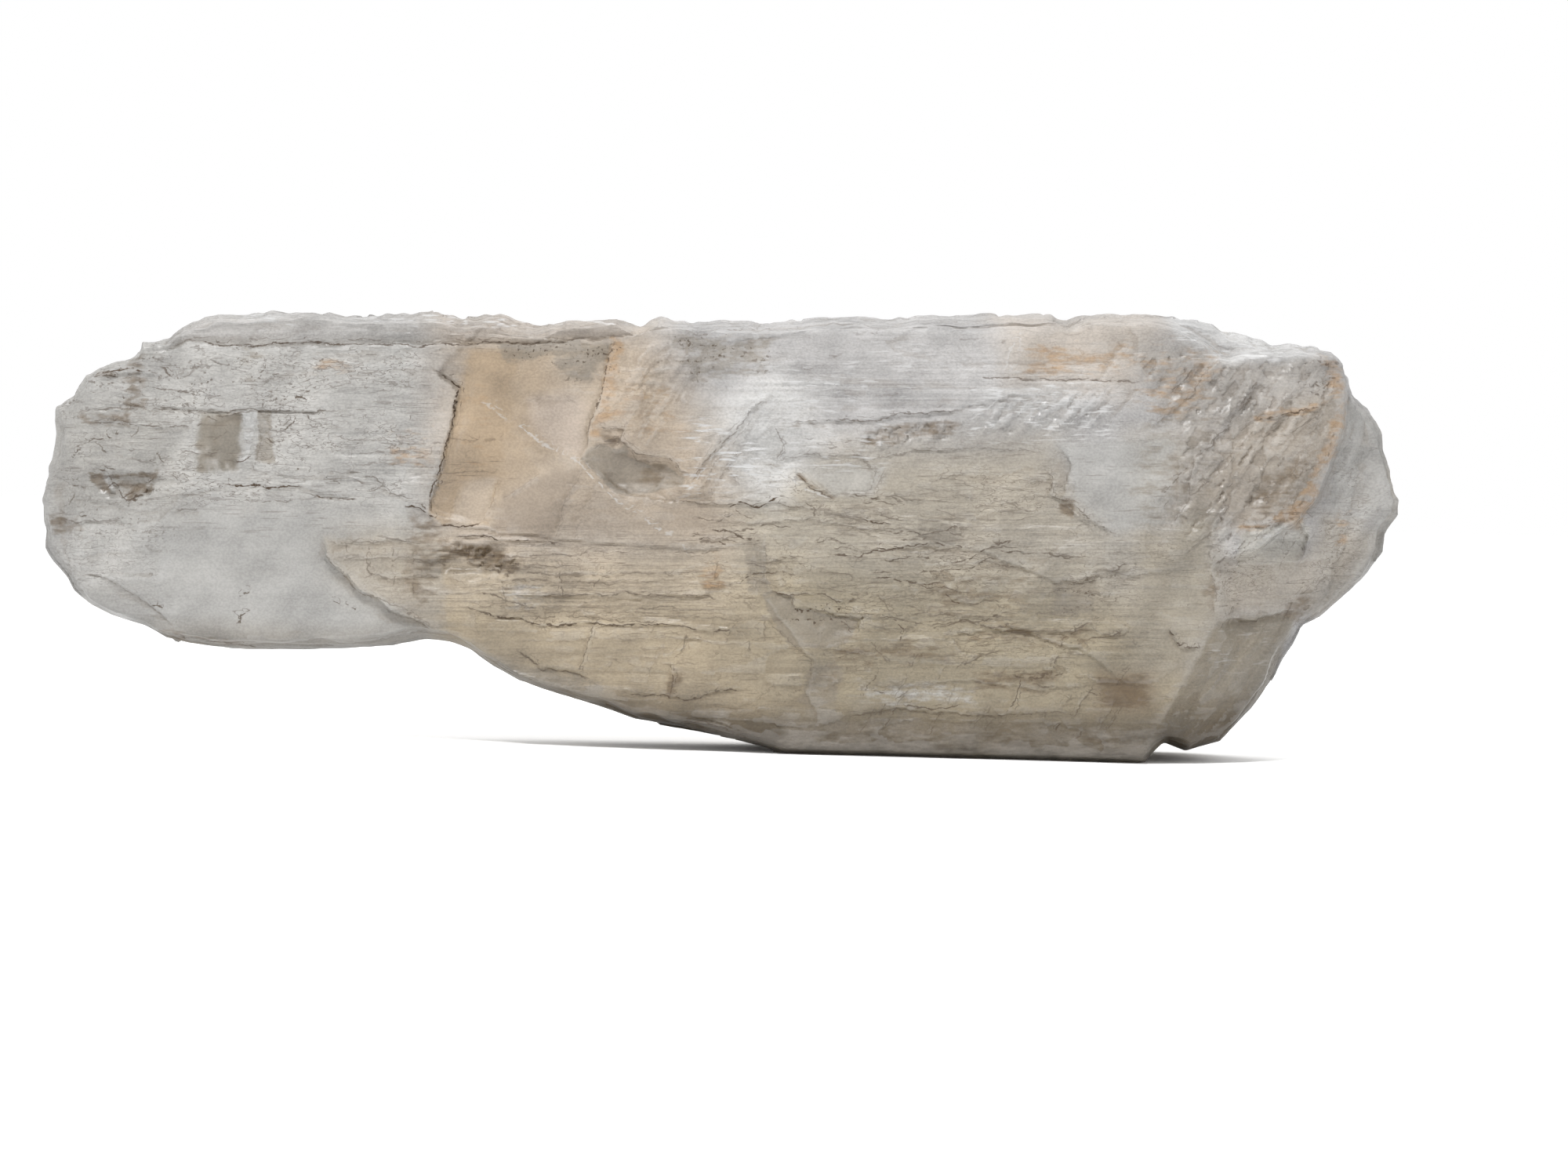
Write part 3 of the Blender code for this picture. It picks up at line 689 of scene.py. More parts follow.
def scattered(area, count, length, turn, wander, fall, dirt, seed, spread=3):
    """Small breaks at random places of an area, in pixels."""
    draw = np.random.RandomState(seed)
    corners = np.array(area, float)
    breaks = []
    while len(breaks) < count:
        start = draw.uniform(corners.min(0), corners.max(0))
        size = draw.uniform(*length)
        stops = max(3, int(size / STOP_EVERY))
        along = np.linspace(0, size, stops)
        across = np.cumsum(draw.uniform(-wander, wander, stops))
        angle = math.radians(turn + draw.uniform(-spread, spread))
        line = start + np.c_[along * math.cos(angle) - across * math.sin(angle),
                             along * math.sin(angle) + across * math.cos(angle)]
        strength = draw.uniform(LEAST_SHARE, 1)
        if depth_inside(corners, line).min() > 0:
            breaks.append(dict(line=line, fall=fall * strength, dirt=dirt * draw.uniform(LEAST_SHARE, 1)))
    return breaks


def all_breaks(given, areas, seed):
    breaks = list(given)
    for n, area in enumerate(areas):
        breaks += scattered(seed=seed + n, **area)
    return breaks


def small_breaks(xz, breaks, on_face):
    """What the small breaks take off a broad face."""
    broken = jagged(xz)
    total = np.zeros(len(xz))
    for given in breaks:
        sizes = {key: value for key, value in given.items() if key != "line"}
        total += break_fall(broken, on_face(given["line"]), **sizes)
    return total


def on_front(pixels):
    return seen(pixels, FRONT_PLANE)


def on_back(pixels):
    return centred(pixels)


def on_rim(pixels):
    return seen(pixels, RIM_PLANE)


def crumble(points, sizes, seed):
    """How far lumps of several sizes are broken out, in metres."""
    return sum(depth * (1 + lattice_noise(points / size, seed + n)) / 2
               for n, (size, depth) in enumerate(sizes))


def swell(points):
    """Broad unevenness of a surface, in metres."""
    return sum(height * lattice_noise(points / np.array(size), 11 + n)
               for n, (size, height) in enumerate(SWELLS))


# The mesh


def plain_slab():
    """The crystal's outline as a slab of one thickness, on an even grid."""
    curve = bpy.data.curves.new("outline", "CURVE")
    curve.dimensions = "2D"
    curve.fill_mode = "BOTH"
    curve.extrude = SLAB_HALF
    spline = curve.splines.new("POLY")
    edge = on_rim(OUTLINE)
    spline.points.add(len(edge) - 1)
    for point, (x, z) in zip(spline.points, edge):
        point.co = (x, z, 0, 1)
    spline.use_cyclic_u = True
    drawn = bpy.data.objects.new("outline", curve)
    drawn.rotation_euler.x = math.pi / 2
    bpy.context.collection.objects.link(drawn)
    grid = drawn.modifiers.new("grid", "REMESH")
    grid.mode = "VOXEL"
    grid.voxel_size = VOXEL
    bpy.context.view_layer.update()
    graph = bpy.context.evaluated_depsgraph_get()
    mesh = bpy.data.meshes.new_from_object(drawn.evaluated_get(graph))
    mesh.transform(drawn.matrix_world)
    bpy.data.objects.remove(drawn)
    return mesh


def points_of(mesh):
    p = np.zeros(len(mesh.vertices) * 3)
    mesh.vertices.foreach_get("co", p)
    return p.reshape(-1, 3)


def broad_faces(xz, front):
    """How far the crystal's two broad faces stand off its middle plane."""
    depth = np.zeros(len(xz))
    depth[front] = face_depth(xz[front], **FRONT, on_face=on_front, smooth_areas=SMOOTH_AREAS,
                              splinters=SPLINTERS)
    depth[front] -= small_breaks(xz[front], FRONT_BREAKS, on_front)
    depth[~front] = face_depth(xz[~front], **BACK, on_face=on_back, smooth_areas=[], splinters=[])
    depth[~front] -= small_breaks(xz[~front], BACK_BREAKS, on_back)
    return depth


def eaten_back(p, share, rim, inward):
    """How far the edge is eaten back: by crumbling, by chips and by the ends of its layers."""
    off_ground = smooth(p[:, 2] / CRUMBLE_REACH)
    eaten = crumble(p, CRUMBLES, 5) * share**2 * (np.exp(-rim / CRUMBLE_REACH) * off_ground)
    ragged = np.exp(-rim / CHIP_REACH) * off_ground * (1 - CHIPS_SPARED * smooth(2 * inward[:, 1]))
    eaten += crumble(p * np.array([1, CHIP_DEPTH, 1]), CHIPS, 61) * ragged
    length, thickness = LAYERS
    sheets = lattice_noise(p / np.array([length, thickness, length]), 71)
    return eaten + np.round(1 + sheets) * LAYER_STEP * np.exp(-rim / LAYER_REACH) * off_ground


def shape(mesh):
    """Moves the slab's points out to the crystal's two broad faces and breaks up its edge."""
    p = points_of(mesh)
    xz = p[:, [0, 2]]
    share = np.clip(p[:, 1] / SLAB_HALF, -1, 1)
    rim, _, _, inward = nearest(on_rim(OUTLINE), xz, closed=True)
    roll = RIM_SHARE + (1 - RIM_SHARE) * np.sqrt(smooth(rim / RIM_WIDTH))
    p[:, 1] = broad_faces(xz, share < 0) * roll * share
    p[:, 1] += swell(p) * np.sign(share) * smooth(rim / RIM_WIDTH)
    p[:, [0, 2]] += inward * eaten_back(p, share, rim, inward)[:, None]
    p[:, 2] = np.where(p[:, 2] < BASE_FLAT, 0, p[:, 2])
    low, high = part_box(NODE)
    p[:, 1] += (low[1] + high[1] - p[:, 1].min() - p[:, 1].max()) / 2
    p = np.clip(p, np.array(low), np.array(high))
    mesh.vertices.foreach_set("co", p.ravel())
    mesh.update()


def along_marks(p):
    """The numbers of the points beside the front's dirtiest breaks, where the mesh stays fine."""
    front = np.flatnonzero(p[:, 1] < 0)
    xz = jagged(p[front][:, [0, 2]])
    found = []
    for path, dirt in marks_of(FRONT_BREAKS, on_front):
        if dirt >= KEPT_DIRT:
            at = near(path, xz, KEPT_REACH)
            found.append(front[at[nearest(path, xz[at])[0] < KEPT_REACH]])
    return np.unique(np.concatenate(found))


def thinned(mesh):
    """The mesh with fewer faces where it is flat, smooth but for its breaks."""
    dense = bpy.data.objects.new("dense", mesh)
    bpy.context.collection.objects.link(dense)
    fewer = dense.modifiers.new("fewer", "DECIMATE")
    fewer.ratio = min(1, TRIANGLES / (2 * len(mesh.polygons)))
    kept = dense.vertex_groups.new(name="kept")
    kept.add(along_marks(points_of(mesh)).tolist(), 1, "REPLACE")
    fewer.vertex_group = "kept"
    fewer.invert_vertex_group = True
    graph = bpy.context.evaluated_depsgraph_get()
    thin = bpy.data.meshes.new_from_object(dense.evaluated_get(graph))
    bpy.data.objects.remove(dense)
    thin.shade_smooth()
    thin.set_sharp_from_angle(angle=SMOOTH_BELOW)
    return thin


FRONT_BREAKS = all_breaks(BREAKS, SCATTERED, 301)
BACK_BREAKS = all_breaks([], SCATTERED_BACK, 401)


def crystal():
    mesh = plain_slab()
    shape(mesh)
    thin = thinned(mesh)
    cracks, veins = colour_in(thin)
    thin.materials.clear()
    thin.materials.append(selenite(cracks, veins))
    piece = bpy.data.objects.new("selenite", thin)
    bpy.context.scene.collection.objects.link(piece)
    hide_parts(NODE)
    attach(piece, "root")
    return piece


# Colour

PALE = (184, 182, 178)
GREY = (184, 182, 181)
COOL = (177, 176, 173)
BEIGE = (175, 166, 150)
TAN = (172, 157, 132)
BODY = (157, 146, 123)
# painted shade for the lowest part of the front
SHADE = (94, 81, 60)
PEACH = (175, 153, 125)
BLUSH = (184, 168, 149)
DULL = (162, 153, 136)
# the white stains are partly painted highlights
STAIN_COLOURS = dict(grey=(137, 128, 114), brown=(110, 90, 62), orange=(176, 143, 105),
                     white=(204, 204, 203))
STAIN_SHARES = dict(grey=0.7, brown=0.75, orange=0.75, white=0.65)
# white of broken edges and inner breaks, and of painted highlights
WHITE = (222, 222, 222)
DIRT = (80, 62, 43)
LIGHT = 1.45  # how many times brighter than under an even white sky the lamps leave the front
FIBRE_ANGLE = math.radians(55)


DARK_HOLLOW = [(741, 587), (752, 572), (768, 564), (790, 572), (800, 562), (808, 583), (822, 592),
               (855, 598), (872, 606), (868, 618), (830, 628), (786, 627)]

# Colour of the front, with painted shade at the lower edge and a painted highlight at the crumbled top:
# colour, how far in it sets in, in pixels, strength, and area. Later ones lie over earlier ones.
AREAS = [
    # the broad zones
    (PALE, 60, 1, box(40, 380, 560, 830)),
    ((178, 175, 172), 8, 0.8, box(190, 392, 560, 434)),
    ((140, 134, 122), 4, 0.8, box(250, 526, 302, 604)),
    (TAN, 40, 1, [(540, 690), (800, 700), (1000, 690), (1100, 760), (1480, 780), (1560, 960), (960, 980),
                  (560, 840), (420, 740), (410, 690)]),
    ((188, 174, 154), 30, 0.6, box(560, 690, 960, 770)),
    (BODY, 120, 0.9, [(980, 640), (1400, 680), (1500, 800), (1500, 980), (1000, 980), (960, 800)]),
    (BEIGE, 50, 0.9, [(760, 590), (1340, 560), (1400, 690), (960, 720), (800, 680)]),
    (GREY, 20, 1, [(800, 380), (1460, 380), (1460, 520), (980, 545), (900, 560), (830, 470)]),
    ((210, 209, 207), 24, 0.9, [(860, 540), (1000, 470), (1060, 560), (990, 640), (870, 630)]),
    (DULL, 30, 0.9, [(1440, 560), (1540, 560), (1560, 800), (1440, 900)]),
    # the blush round the tan panel
    (BLUSH, 50, 1, [(560, 400), (820, 396), (880, 500), (930, 600), (930, 700), (560, 700)]),
    (PEACH, 3, 0.9, [(600, 446), (660, 446), (650, 560), (622, 672), (562, 668), (546, 655), (568, 570),
                     (586, 500), (590, 470)]),
    (PEACH, 24, 0.6, [(600, 446), (700, 446), (720, 560), (640, 640), (600, 640)]),
    ((187, 171, 152), 3, 0.9, [(585, 613), (634, 609), (618, 669), (574, 669)]),
    ((160, 145, 128), 4, 0.8, [(692, 604), (744, 596), (704, 690), (622, 684), (636, 640)]),
    ((193, 178, 164), 10, 0.8, [(675, 508), (748, 506), (744, 580), (720, 580), (676, 548)]),
    ((180, 170, 160), 12, 0.8, box(560, 396, 810, 434)),
    # the pale lobe
    ((173, 172, 169), 30, 0.8, [(180, 640), (400, 632), (540, 800), (540, 840), (180, 820)]),
    ((172, 163, 149), 3, 0.8, [(411, 690), (470, 686), (560, 700), (570, 812), (536, 794), (504, 772),
                               (475, 766), (446, 746), (416, 716)]),
    ((166, 160, 150), 20, 0.8, [(180, 796), (540, 812), (540, 840), (200, 840)]),
    ((172, 169, 163), 30, 0.7, box(50, 520, 230, 660)),
    # the right
    ((188, 178, 167), 30, 0.9, [(1270, 400), (1500, 396), (1440, 500), (1290, 490)]),
    (COOL, 8, 0.8, [(1345, 564), (1500, 560), (1500, 672), (1420, 680), (1370, 640)]),
    (COOL, 8, 0.6, [(1030, 595), (1130, 595), (1114, 631), (1061, 635)]),
    ((176, 170, 163), 20, 0.9, [(1440, 440), (1690, 450), (1720, 520), (1600, 560), (1480, 690),
                                (1500, 560)]),
    ((162, 152, 139), 20, 0.9, [(1580, 540), (1700, 500), (1722, 540), (1670, 650), (1580, 680),
                                (1520, 640)]),
    ((190, 187, 179), 2, 0.9, [(1580, 684), (1600, 672), (1632, 668), (1658, 656), (1676, 684), (1650, 740),
                    (1566, 760)]),
    ((172, 163, 150), 20, 0.9, [(1560, 716), (1680, 710), (1690, 780), (1550, 790)]),
    ((174, 172, 168), 10, 0.9, [(1724, 500), (1800, 560), (1800, 800), (1690, 790), (1700, 620)]),
    ((172, 164, 152), 16, 0.7, [(1690, 650), (1770, 690), (1700, 800), (1660, 780)]),
    ((138, 128, 110), 5, 0.9, [(1549, 790), (1664, 780), (1610, 930), (1540, 965), (1455, 965)]),
    ((110, 86, 54), 24, 0.9, box(1404, 864, 1462, 902)),
    # the lower edge: SHADE is painted shade under the lowest part, and a darker band lies along the lower
    # left bevel
    (SHADE, 30, 1, [(700, 880), (900, 900), (1040, 912), (1480, 914), (1600, 890), (1560, 1000),
                    (900, 980), (700, 920)]),
    ((150, 140, 124), 10, 0.8, [(600, 832), (660, 850), (760, 884), (760, 920), (600, 860)]),
    # the crumbled top, whiter: partly the white of crumbled gypsum and partly a painted highlight of the
    # light from above
    ((200, 200, 200), 8, 0.7, [(1480, 392), (1570, 404), (1720, 440), (1640, 462), (1560, 466),
                               (1500, 430)]),
]
# Stains with ragged edges, and among the white ones painted highlights: strength, how far in they set in, in
# pixels, and area
STAINS = dict(
    grey=[
        (1.15, 6, box(250, 526, 302, 604)), (1.15, 5, box(324, 524, 346, 592)),
        (0.85, 12, box(300, 438, 340, 462)), (0.8, 10, box(310, 470, 322, 497)),
        (1.1, 10, [(630, 434), (790, 432), (758, 486), (720, 484), (700, 452), (640, 466)]),
        (0.9, 16, [(850, 426), (990, 424), (980, 480), (880, 490)]), (1.2, 4, DARK_HOLLOW),
        (1.2, 4, [(964, 754), (1009, 754), (1015, 774), (1098, 787), (1080, 826), (1009, 826)]),
        (1.0, 5, box(952, 680, 982, 760)), (1.2, 10, box(1340, 736, 1398, 786)),
        (0.95, 6, [(666, 846), (700, 850), (770, 868), (772, 892), (730, 884), (690, 868)]),
        (0.95, 5, [(908, 900), (924, 902), (930, 926), (906, 928)]),
        (0.85, 8, box(1388, 714, 1440, 736)), (1.1, 8, box(1026, 845, 1072, 945)),
        (0.8, 12, [(1040, 650), (1130, 636), (1150, 660), (1070, 690)]),
        (0.7, 20, [(800, 500), (840, 444), (880, 430), (860, 500), (820, 560)]),
        (0.6, 30, box(1440, 500, 1560, 690)), (0.8, 12, [(1000, 910), (1480, 926), (1500, 980), (980, 960)]),
        (0.6, 14, [(960, 640), (984, 560), (1010, 580), (990, 640)]),
        (0.65, 20, [(1150, 640), (1300, 650), (1290, 720), (1160, 710)]),
    ],
    brown=[
        (0.75, 12, [(150, 448), (186, 448), (184, 526), (154, 526)]), (0.8, 10, box(92, 522, 162, 544)),
        (0.8, 8, box(108, 474, 160, 486)),
        (1.0, 6, [(104, 600), (128, 602), (134, 634), (116, 628)]),
        (0.8, 6, [(134, 604), (200, 598), (190, 632), (158, 644), (142, 628)]),
        (0.75, 12, box(52, 652, 96, 690)),
        (0.7, 8, [(190, 800), (250, 812), (330, 824), (330, 836), (200, 830)]),
        (0.9, 8, [(554, 690), (620, 692), (672, 712), (658, 738), (600, 722), (566, 708)]),
        (0.7, 12, [(516, 648), (552, 656), (590, 700), (540, 780), (510, 760)]),
        (0.7, 10, [(1100, 548), (1140, 536), (1240, 522), (1226, 548), (1136, 572), (1096, 572)]),
        (0.55, 6, [(988, 536), (1100, 534), (1100, 552), (990, 550)]),
        (0.95, 5, box(1346, 634, 1370, 660)), (0.8, 14, box(1234, 796, 1384, 824)),
        (1.3, 20, box(1402, 862, 1464, 904)), (0.8, 30, box(1230, 846, 1350, 890)),
        (0.7, 24, box(1060, 810, 1220, 850)), (0.8, 5, [(762, 556), (782, 540), (798, 546), (786, 576)]),
        (0.85, 8, [(884, 734), (906, 730), (930, 716), (926, 752), (900, 762)]),
        (0.7, 16, [(1600, 600), (1690, 560), (1670, 650), (1590, 670)]),
        (0.7, 12, box(1530, 716, 1556, 770)),
        (0.75, 10, [(1640, 760), (1680, 756), (1668, 800), (1640, 796)]),
        (0.6, 30, box(1180, 720, 1330, 790)),
        (0.65, 20, [(1036, 850), (1070, 850), (1060, 900), (1036, 920)]),
        (0.8, 5, [(1008, 598), (1024, 600), (1068, 640), (1056, 644)]),
        (0.7, 20, [(660, 870), (900, 910), (900, 930), (700, 900)]),
        (0.85, 6, [(850, 850), (872, 848), (868, 896), (848, 892)]),
        (0.7, 10, [(830, 590), (872, 604), (864, 622), (800, 624)]),
    ],
    orange=[
        (0.45, 20, [(592, 470), (640, 460), (630, 600), (570, 620), (585, 520)]),
        (0.95, 6, [(780, 424), (796, 430), (786, 500), (766, 562), (752, 556), (766, 500)]),
        (0.75, 24, [(1300, 440), (1440, 436), (1430, 480), (1300, 484)]),
        (0.7, 12, [(884, 744), (892, 716), (912, 702), (930, 716), (926, 744), (900, 756)]),
        (0.85, 9, [(1574, 662), (1606, 664), (1650, 640), (1670, 610), (1690, 560), (1716, 500), (1730, 520),
                  (1700, 610), (1664, 664), (1640, 668), (1580, 684)]),
        (0.85, 8, [(1599, 530), (1650, 516), (1694, 508), (1694, 522), (1650, 532), (1604, 544)]),
        (0.85, 12, [(1680, 450), (1712, 460), (1728, 510), (1700, 516)]),
        (0.65, 30, [(1440, 440), (1560, 430), (1540, 540), (1450, 540)]),
        (0.8, 10, box(1640, 640, 1662, 676)), (0.7, 12, box(1706, 650, 1730, 700)),
        (0.55, 30, [(790, 480), (860, 470), (880, 560), (800, 560)]),
        (0.6, 16, box(395, 450, 450, 480)), (0.6, 12, box(490, 540, 560, 600)),
    ],
    # white: partly real (white inner breaks at the lobe, the white plate at the right) and partly painted
    # highlights: glint spots in the upper middle and along the top edge and shoulder, where the light from
    # above falls
    white=[
        (1.2, 2, [(303, 524), (326, 524), (313, 592), (308, 592)]),
        (1.1, 3, [(124, 604), (134, 604), (136, 630), (128, 624)]),
        (0.85, 14, box(926, 584, 966, 608)), (0.7, 20, box(1235, 484, 1400, 556)),
        (0.7, 20, box(980, 476, 1080, 520)), (0.8, 6, box(300, 394, 350, 410)),
        (0.3, 14, box(190, 410, 545, 432)), (0.8, 10, [(1500, 396), (1640, 424), (1640, 452), (1500, 436)]),
        (0.75, 8, [(1590, 684), (1650, 662), (1672, 684), (1600, 700)]), (0.7, 16, box(640, 735, 700, 770)),
        (0.72, 30, box(1090, 866, 1250, 906)), (0.65, 16, box(540, 560, 566, 640)),
    ],
)


PATCH_WANDER = [(0.016, 0.010, 0.0018), (0.005, 0.003, 0.0008)]  # length and height of a lump, how far
MARK_REACH = 0.0025  # how far from its line a mark is stored
MARK_ENDS = 0.12  # the share of a mark's length over which each end fades
SEAM_WANDER = 0.012  # how far the front's colours reach round the edge, here more and there less
SEAM_LUMP = 0.018
SEAM_BLEND = 0.02
UNDER_SHADE = 0.5  # painted shade: how much darker the lowest edges are painted
UNDER_REACH = 0.006
RELIEF_ROUNDS = 6  # how often the surface is evened out to find what stands out of it
# Stains of the back: how rare they are, and their length and height
BACK_STAINS = dict(grey=(-0.5, 0.060, 0.022), brown=(-0.8, 0.045, 0.018), orange=(-0.8, 0.050, 0.026),
                   white=(-0.7, 0.050, 0.016))

# How flaky, striated, specked and dashed with dirt the front is, and how much painted highlight (white
# glint spots) it has: value, how far in it sets in, in pixels, and area
FLAKY = [
    (1.2, 20, box(60, 440, 545, 650)),
    (0.7, 20, box(60, 650, 300, 780)),
    (1.0, 30, [(990, 600), (1330, 590), (1450, 690), (1450, 840), (990, 840)]),
    (0.7, 20, box(540, 690, 990, 800)),
    (0.3, 20, [(800, 400), (1400, 400), (1300, 520), (1000, 530), (820, 480)]),
    (0.9, 20, [(1480, 680), (1760, 560), (1740, 740), (1640, 800), (1500, 800)]),
]
STRIATED = [
    (1.0, 20, box(540, 680, 990, 800)),
    (1.0, 20, box(430, 540, 600, 625)),
    (0.9, 20, box(960, 460, 1400, 530)),
    (0.7, 30, box(980, 620, 1480, 860)),
    (0.1, 30, [(1440, 430), (1800, 430), (1800, 960), (1520, 960), (1480, 700)]),
]
SPECKLED = [
    (1.0, 25, box(60, 440, 400, 530)),
    (0.6, 25, box(60, 580, 220, 700)),
    (0.45, 25, box(960, 700, 1420, 900)),
    (0.7, 15, box(540, 690, 690, 740)),
    (1.3, 8, box(300, 438, 338, 464)),
    (1.2, 10, [(630, 436), (800, 432), (790, 480), (720, 486), (640, 466)]),
    (1.1, 14, [(850, 426), (990, 420), (980, 480), (880, 490)]),
    (1.5, 8, box(1014, 770, 1080, 802)),
    (1.2, 14, box(1336, 734, 1404, 786)),
    (1.0, 14, box(1660, 455, 1716, 520)),
]
DASHED = [
    (0.6, 25, box(60, 440, 560, 680)),
    (1.0, 25, box(440, 550, 590, 620)),
    (1.0, 25, box(540, 680, 980, 795)),
    (0.5, 25, box(560, 800, 1000, 920)),
    (0.9, 15, box(575, 556, 650, 612)),
    (0.6, 25, box(960, 560, 1500, 900)),
]
# Where painted highlights (white glint spots) show
PAINTED_GLINT_AREAS = [
    (1.0, 20, box(960, 468, 1100, 524)),
    (0.7, 20, box(1060, 430, 1180, 520)),
    (1.0, 20, box(1230, 480, 1420, 560)),
    (1.2, 16, box(870, 540, 985, 625)),
    (0.8, 16, box(985, 510, 1130, 600)),
    (0.8, 8, box(300, 392, 820, 416)),
    (1.0, 8, box(1500, 400, 1640, 460)),
    (0.3, 12, box(1530, 800, 1620, 860)),
]


def linear(colour):
    """What reflects as this sRGB colour in the studio's light."""
    c = np.array(colour, float) / 255
    return np.where(c <= 0.04045, c / 12.92, ((c + 0.055) / 1.055) ** 2.4) / LIGHT


def patched(xz, start, patches, on_face):
    """A value at each point: patches with soft, wandering edges, each laid over those before it."""
    moved = xz.copy()
    for n, (length, height, distance) in enumerate(PATCH_WANDER):
        moved += distance * np.c_[flat_noise(xz, length, height, 91 + 2 * n),
                                  flat_noise(xz, length, height, 92 + 2 * n)]
    value = np.tile(np.atleast_1d(np.array(start, float)), (len(xz), 1))
    for worth, soft_pixels, strength, area in patches:
        soft = soft_pixels * PIXEL
        corners = on_face(area)
        at = near(corners, xz, soft + 2 * PATCH_WANDER[0][2])
        share = strength * smooth(0.5 + depth_inside(corners, moved[at]) / (2 * soft))
        value[at] += (worth - value[at]) * share[:, None]
    return value


def front_colour(xz):
    patches = [(linear(colour), soft, strength, area) for colour, soft, strength, area in AREAS]
    return patched(xz, linear(GREY), patches, on_front)


def under_shade(xz):
    """Painted shade: how dark the crystal is painted towards its lower edges."""
    rim, _, _, inward = nearest(on_rim(OUTLINE), xz, closed=True)
    return 1 - UNDER_SHADE * np.exp(-rim / UNDER_REACH) * smooth(2 * inward[:, 1])


def back_colour(xz):
    """Pale at the thin end and tan at the thick end, with cool, brown and orange clouds."""
    level = turned(jagged(xz), LEAN)
    colour = np.tile(linear(PALE), (len(xz), 1))
    thick = 0.5 + xz[:, 0] / 0.5 - (xz[:, 1] - 0.12) / 0.3
    clouds = [
        (BEIGE, 0.9 * smooth(thick + 0.9 * lumpy(level, 0.16, 0.07, 141))),
        (TAN, 0.9 * smooth(thick - 0.5 + 1.2 * lumpy(level, 0.12, 0.05, 142))),
        (COOL, 0.6 * smooth(0.2 + 1.6 * lumpy(level, 0.07, 0.03, 143))),
        (PEACH, 0.6 * smooth(-0.8 + 1.8 * lumpy(level, 0.07, 0.022, 144))),
    ]
    for paint, share in clouds:
        colour += (linear(paint) - colour) * share[:, None]
    return colour


def neighbours_mean(values, edges, rounds):
    """Each point's value averaged with its neighbours', several times over."""
    count = np.bincount(edges.ravel(), minlength=len(values))[:, None]
    for _ in range(rounds):
        total = np.zeros_like(values)
        for axis in range(values.shape[1]):
            total[:, axis] += np.bincount(edges[:, 0], values[edges[:, 1], axis], len(values))
            total[:, axis] += np.bincount(edges[:, 1], values[edges[:, 0], axis], len(values))
        values = (values + total / count) / 2
    return values


def standing_out(mesh, p, rounds):
    """How far each point stands out of the surface round it, in metres; negative in a cleft."""
    edges = np.zeros(len(mesh.edges) * 2, int)
    mesh.edges.foreach_get("vertices", edges)
    normals = np.zeros(len(mesh.vertices) * 3)
    mesh.vertices.foreach_get("normal", normals)
    evened = neighbours_mean(p, edges.reshape(-1, 2), rounds)
    return ((p - evened) * normals.reshape(-1, 3)).sum(1)


def store(mesh, name, values):
    if values.ndim == 2:
        layer = mesh.attributes.new(name, "FLOAT_COLOR", "POINT")
        layer.data.foreach_set("color", np.c_[values, np.ones(len(values))].ravel())
    else:
        layer = mesh.attributes.new(name, "FLOAT", "POINT")
        layer.data.foreach_set("value", values)


def far_apart(a, b, gap):
    """Whether two lines keep a gap between them all along."""
    if (a.min(0) > b.max(0) + gap).any() or (b.min(0) > a.max(0) + gap).any():
        return True
    stops = np.vstack([start + (end - start) * share for start, end in zip(a[:-1], a[1:])
                       for share in (0, 0.25, 0.5, 0.75, 1)])
    return nearest(b, stops)[0].min() > gap


def apart(marks):
    """Marks in groups: every two lines of a group are far enough apart to share one attribute."""
    groups = []
    for mark in marks:
        for group in groups:
            if all(far_apart(mark[0], other[0], 2 * MARK_REACH) for other in group):
                group.append(mark)
                break
        else:
            groups.append([mark])
    return groups


def marked(xz, marks):
    """For a group of marks: the distance to the closest line in mm, signed by side, and its strength."""
    off = np.full(len(xz), MARK_REACH * MM)
    strength = np.zeros(len(xz))
    for path, dirt in marks:
        at = near(path, xz, MARK_REACH)
        distance, side, share, _ = nearest(path, xz[at])
        ends = smooth(share / MARK_ENDS) * smooth((1 - share) / MARK_ENDS)
        found = dirt * ends * smooth(2.5 * (1 - distance / MARK_REACH))
        off[at] = np.where(found > 0, distance * side * MM, off[at])
        strength[at] = np.maximum(strength[at], found)
    return off, strength


def marks_of(breaks, on_face):
    return [(on_face(given["line"]), given["dirt"]) for given in breaks if given.get("dirt", 0) > 0]


def draw_marks(mesh, name, xz, front, front_marks, back_marks):
    """Stores marks of both faces, a pair of attributes for each group; returns how many groups."""
    sides = [(apart(front_marks), front), (apart(back_marks), 1 - front)]
    groups = max(len(found) for found, _ in sides)
    for n in range(groups):
        off = np.full(len(xz), MARK_REACH * MM)
        strength = np.zeros(len(xz))
        for found, share in sides:
            if n < len(found):
                at = share > 0.5
                off[at], strength[at] = marked(xz[at], found[n])
                strength[at] *= smooth(2 * share[at] - 1)
        store(mesh, f"{name}_off_{n}", off)
        store(mesh, f"{name}_strength_{n}", strength)
    return groups


